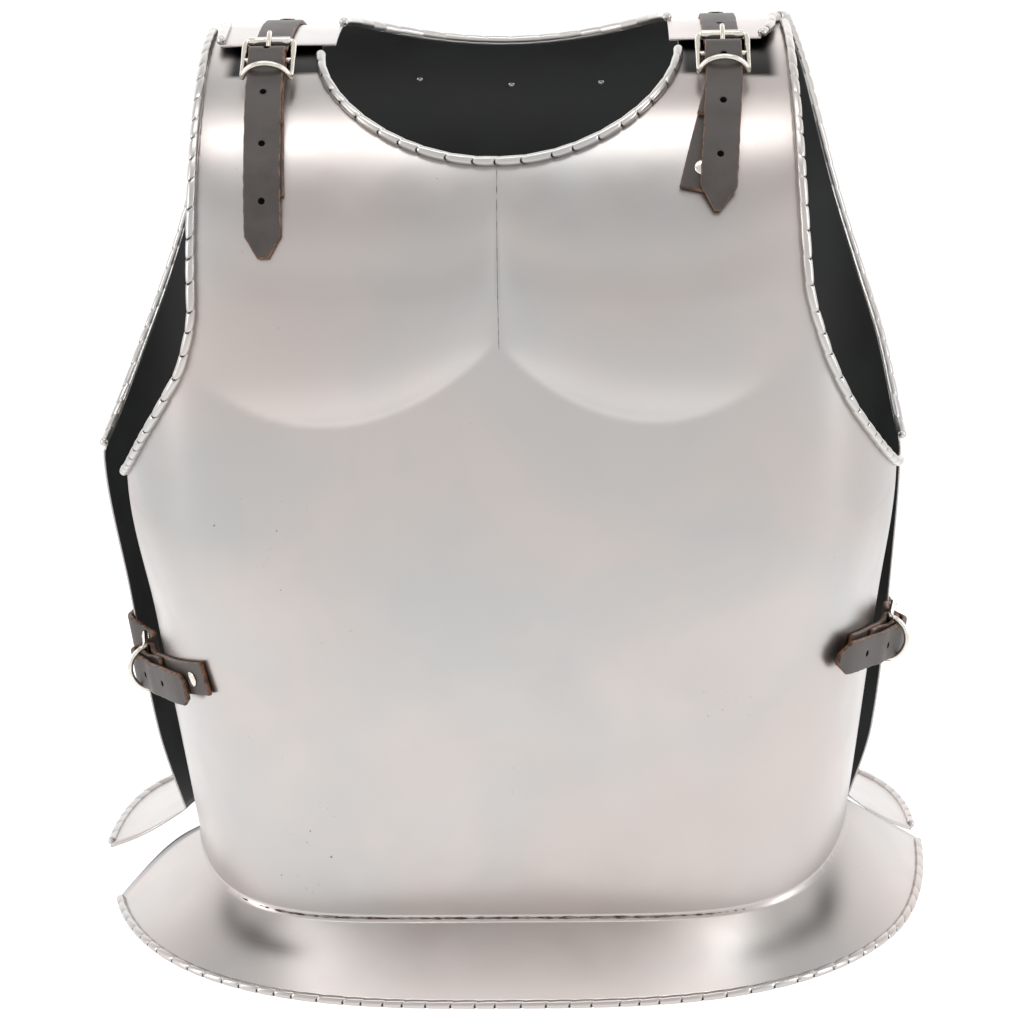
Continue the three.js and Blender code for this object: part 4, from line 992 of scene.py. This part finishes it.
def studio_floor():
    """A pale shooting table that reaches past the view on every side. It glows with painted light,
    most round the middle, that fills the shadows beneath the cuirass.
    """
    mesh = bpy.data.meshes.new("floor")
    mesh.from_pydata([(-6, -6, 0), (6, -6, 0), (6, 6, 0), (-6, 6, 0)], [], [(0, 1, 2, 3)])
    floor = bpy.data.objects.new("floor", mesh)
    bpy.context.scene.collection.objects.link(floor)
    material, add, at = new_material("studio_floor")
    radius = add("VectorMath", "Value", operation="LENGTH", _0=at)
    # painted light: the table glows most within 0.35 m of the middle, less from 0.95 m out
    painted_glow = add("MapRange", Value=radius, From=(0.35, 0.95), To=(1.12, 0.72), **S_CURVE)
    shader = add("BsdfPrincipled", Base_Color=linear("#8e8e8e"), Roughness=0.9,
                  Emission_Color=linear("#ffffff"), Emission_Strength=painted_glow)
    add("OutputMaterial", Surface=shader)
    mesh.materials.append(material)


def area_light(name, place, size, power):
    """A white panel, width by height in metres, that faces the middle of the cuirass."""
    data = bpy.data.lights.new(name, "AREA")
    data.shape = "RECTANGLE"
    data.size, data.size_y = size
    data.energy = power
    lamp = bpy.data.objects.new(name, data)
    lamp.location = place
    lamp.rotation_euler = (Vector((0, 0, 0.3)) - Vector(place)).to_track_quat("-Z", "Y").to_euler()
    bpy.context.scene.collection.objects.link(lamp)


def studio_world(base, top, front, back):
    """A pale studio, by direction: base round the horizon, top overhead, front low behind the camera,
    and back low behind the cuirass. Each is laid over the one before by the share of an S curve."""
    world = bpy.data.worlds.new("studio")
    world.use_nodes = True
    tree = world.node_tree
    add = partial(node, tree)
    direction = add("TexCoord", "Generated")
    y, z = (add("SeparateXYZ", axis, Vector=direction) for axis in "YZ")
    high = add("MapRange", Value=z, From=(0.45, 0.8), **S_CURVE)
    facing = add("MapRange", Value=y, From=(-0.55, -0.95), **S_CURVE)
    low = add("MapRange", Value=z, From=(0.5, 0.25), **S_CURVE)
    low = add("Math", operation="MULTIPLY", _0=facing, _1=low)
    behind = add("MapRange", Value=y, From=(0.35, 0.85), **S_CURVE)
    level = add("Math", operation="MULTIPLY_ADD", _0=high, _1=top - base, _2=base)
    level = add("Math", operation="MULTIPLY_ADD", _0=low, _1=front - base, _2=level)
    level = add("Math", operation="MULTIPLY_ADD", _0=behind, _1=back - base, _2=level)
    tree.links.new(level, tree.nodes["Background"].inputs["Strength"])
    tree.nodes["Background"].inputs["Color"].default_value = linear("#ffffff")
    bpy.context.scene.world = world


def camera():
    """Long lens, 17.5 degrees above the middle of the cuirass and 2 degrees to its side."""
    azimuth, elevation, distance, roll = math.radians(2), math.radians(17.5), 1.8, math.radians(-1.2)
    target = Vector((0.006, 0, 0.236)) + Vector(SHIFT * 0.001)
    back = Vector((math.sin(azimuth) * math.cos(elevation), -math.cos(azimuth) * math.cos(elevation),
                   math.sin(elevation)))
    data = bpy.data.cameras.new("camera")
    data.lens = 105.47
    data.sensor_width = 36
    data.clip_end = 50
    eye = bpy.data.objects.new("camera", data)
    eye.location = target + back * distance
    turn = back.to_track_quat("Z", "Y").to_matrix()
    right = Vector((0, 0, 1)).cross(back).normalized()
    up = back.cross(right)
    x = right * math.cos(roll) + up * math.sin(roll)
    y = -right * math.sin(roll) + up * math.cos(roll)
    eye.rotation_euler = Matrix((x, y, back)).transposed().to_euler()
    bpy.context.scene.collection.objects.link(eye)
    bpy.context.scene.camera = eye


studio_floor()
studio_world(1.06, 0.77, 0.9, 1.7)
area_light("overhead", (0, -0.24, 2.2), (2.0, 0.5), 10.5)
area_light("left_strip", (-1.8, -0.5, 0.8), (0.5, 1.6), 9)
area_light("right_strip", (1.8, -0.5, 0.8), (0.5, 1.6), 9)
camera()
bpy.context.scene.view_settings.view_transform = "Standard"
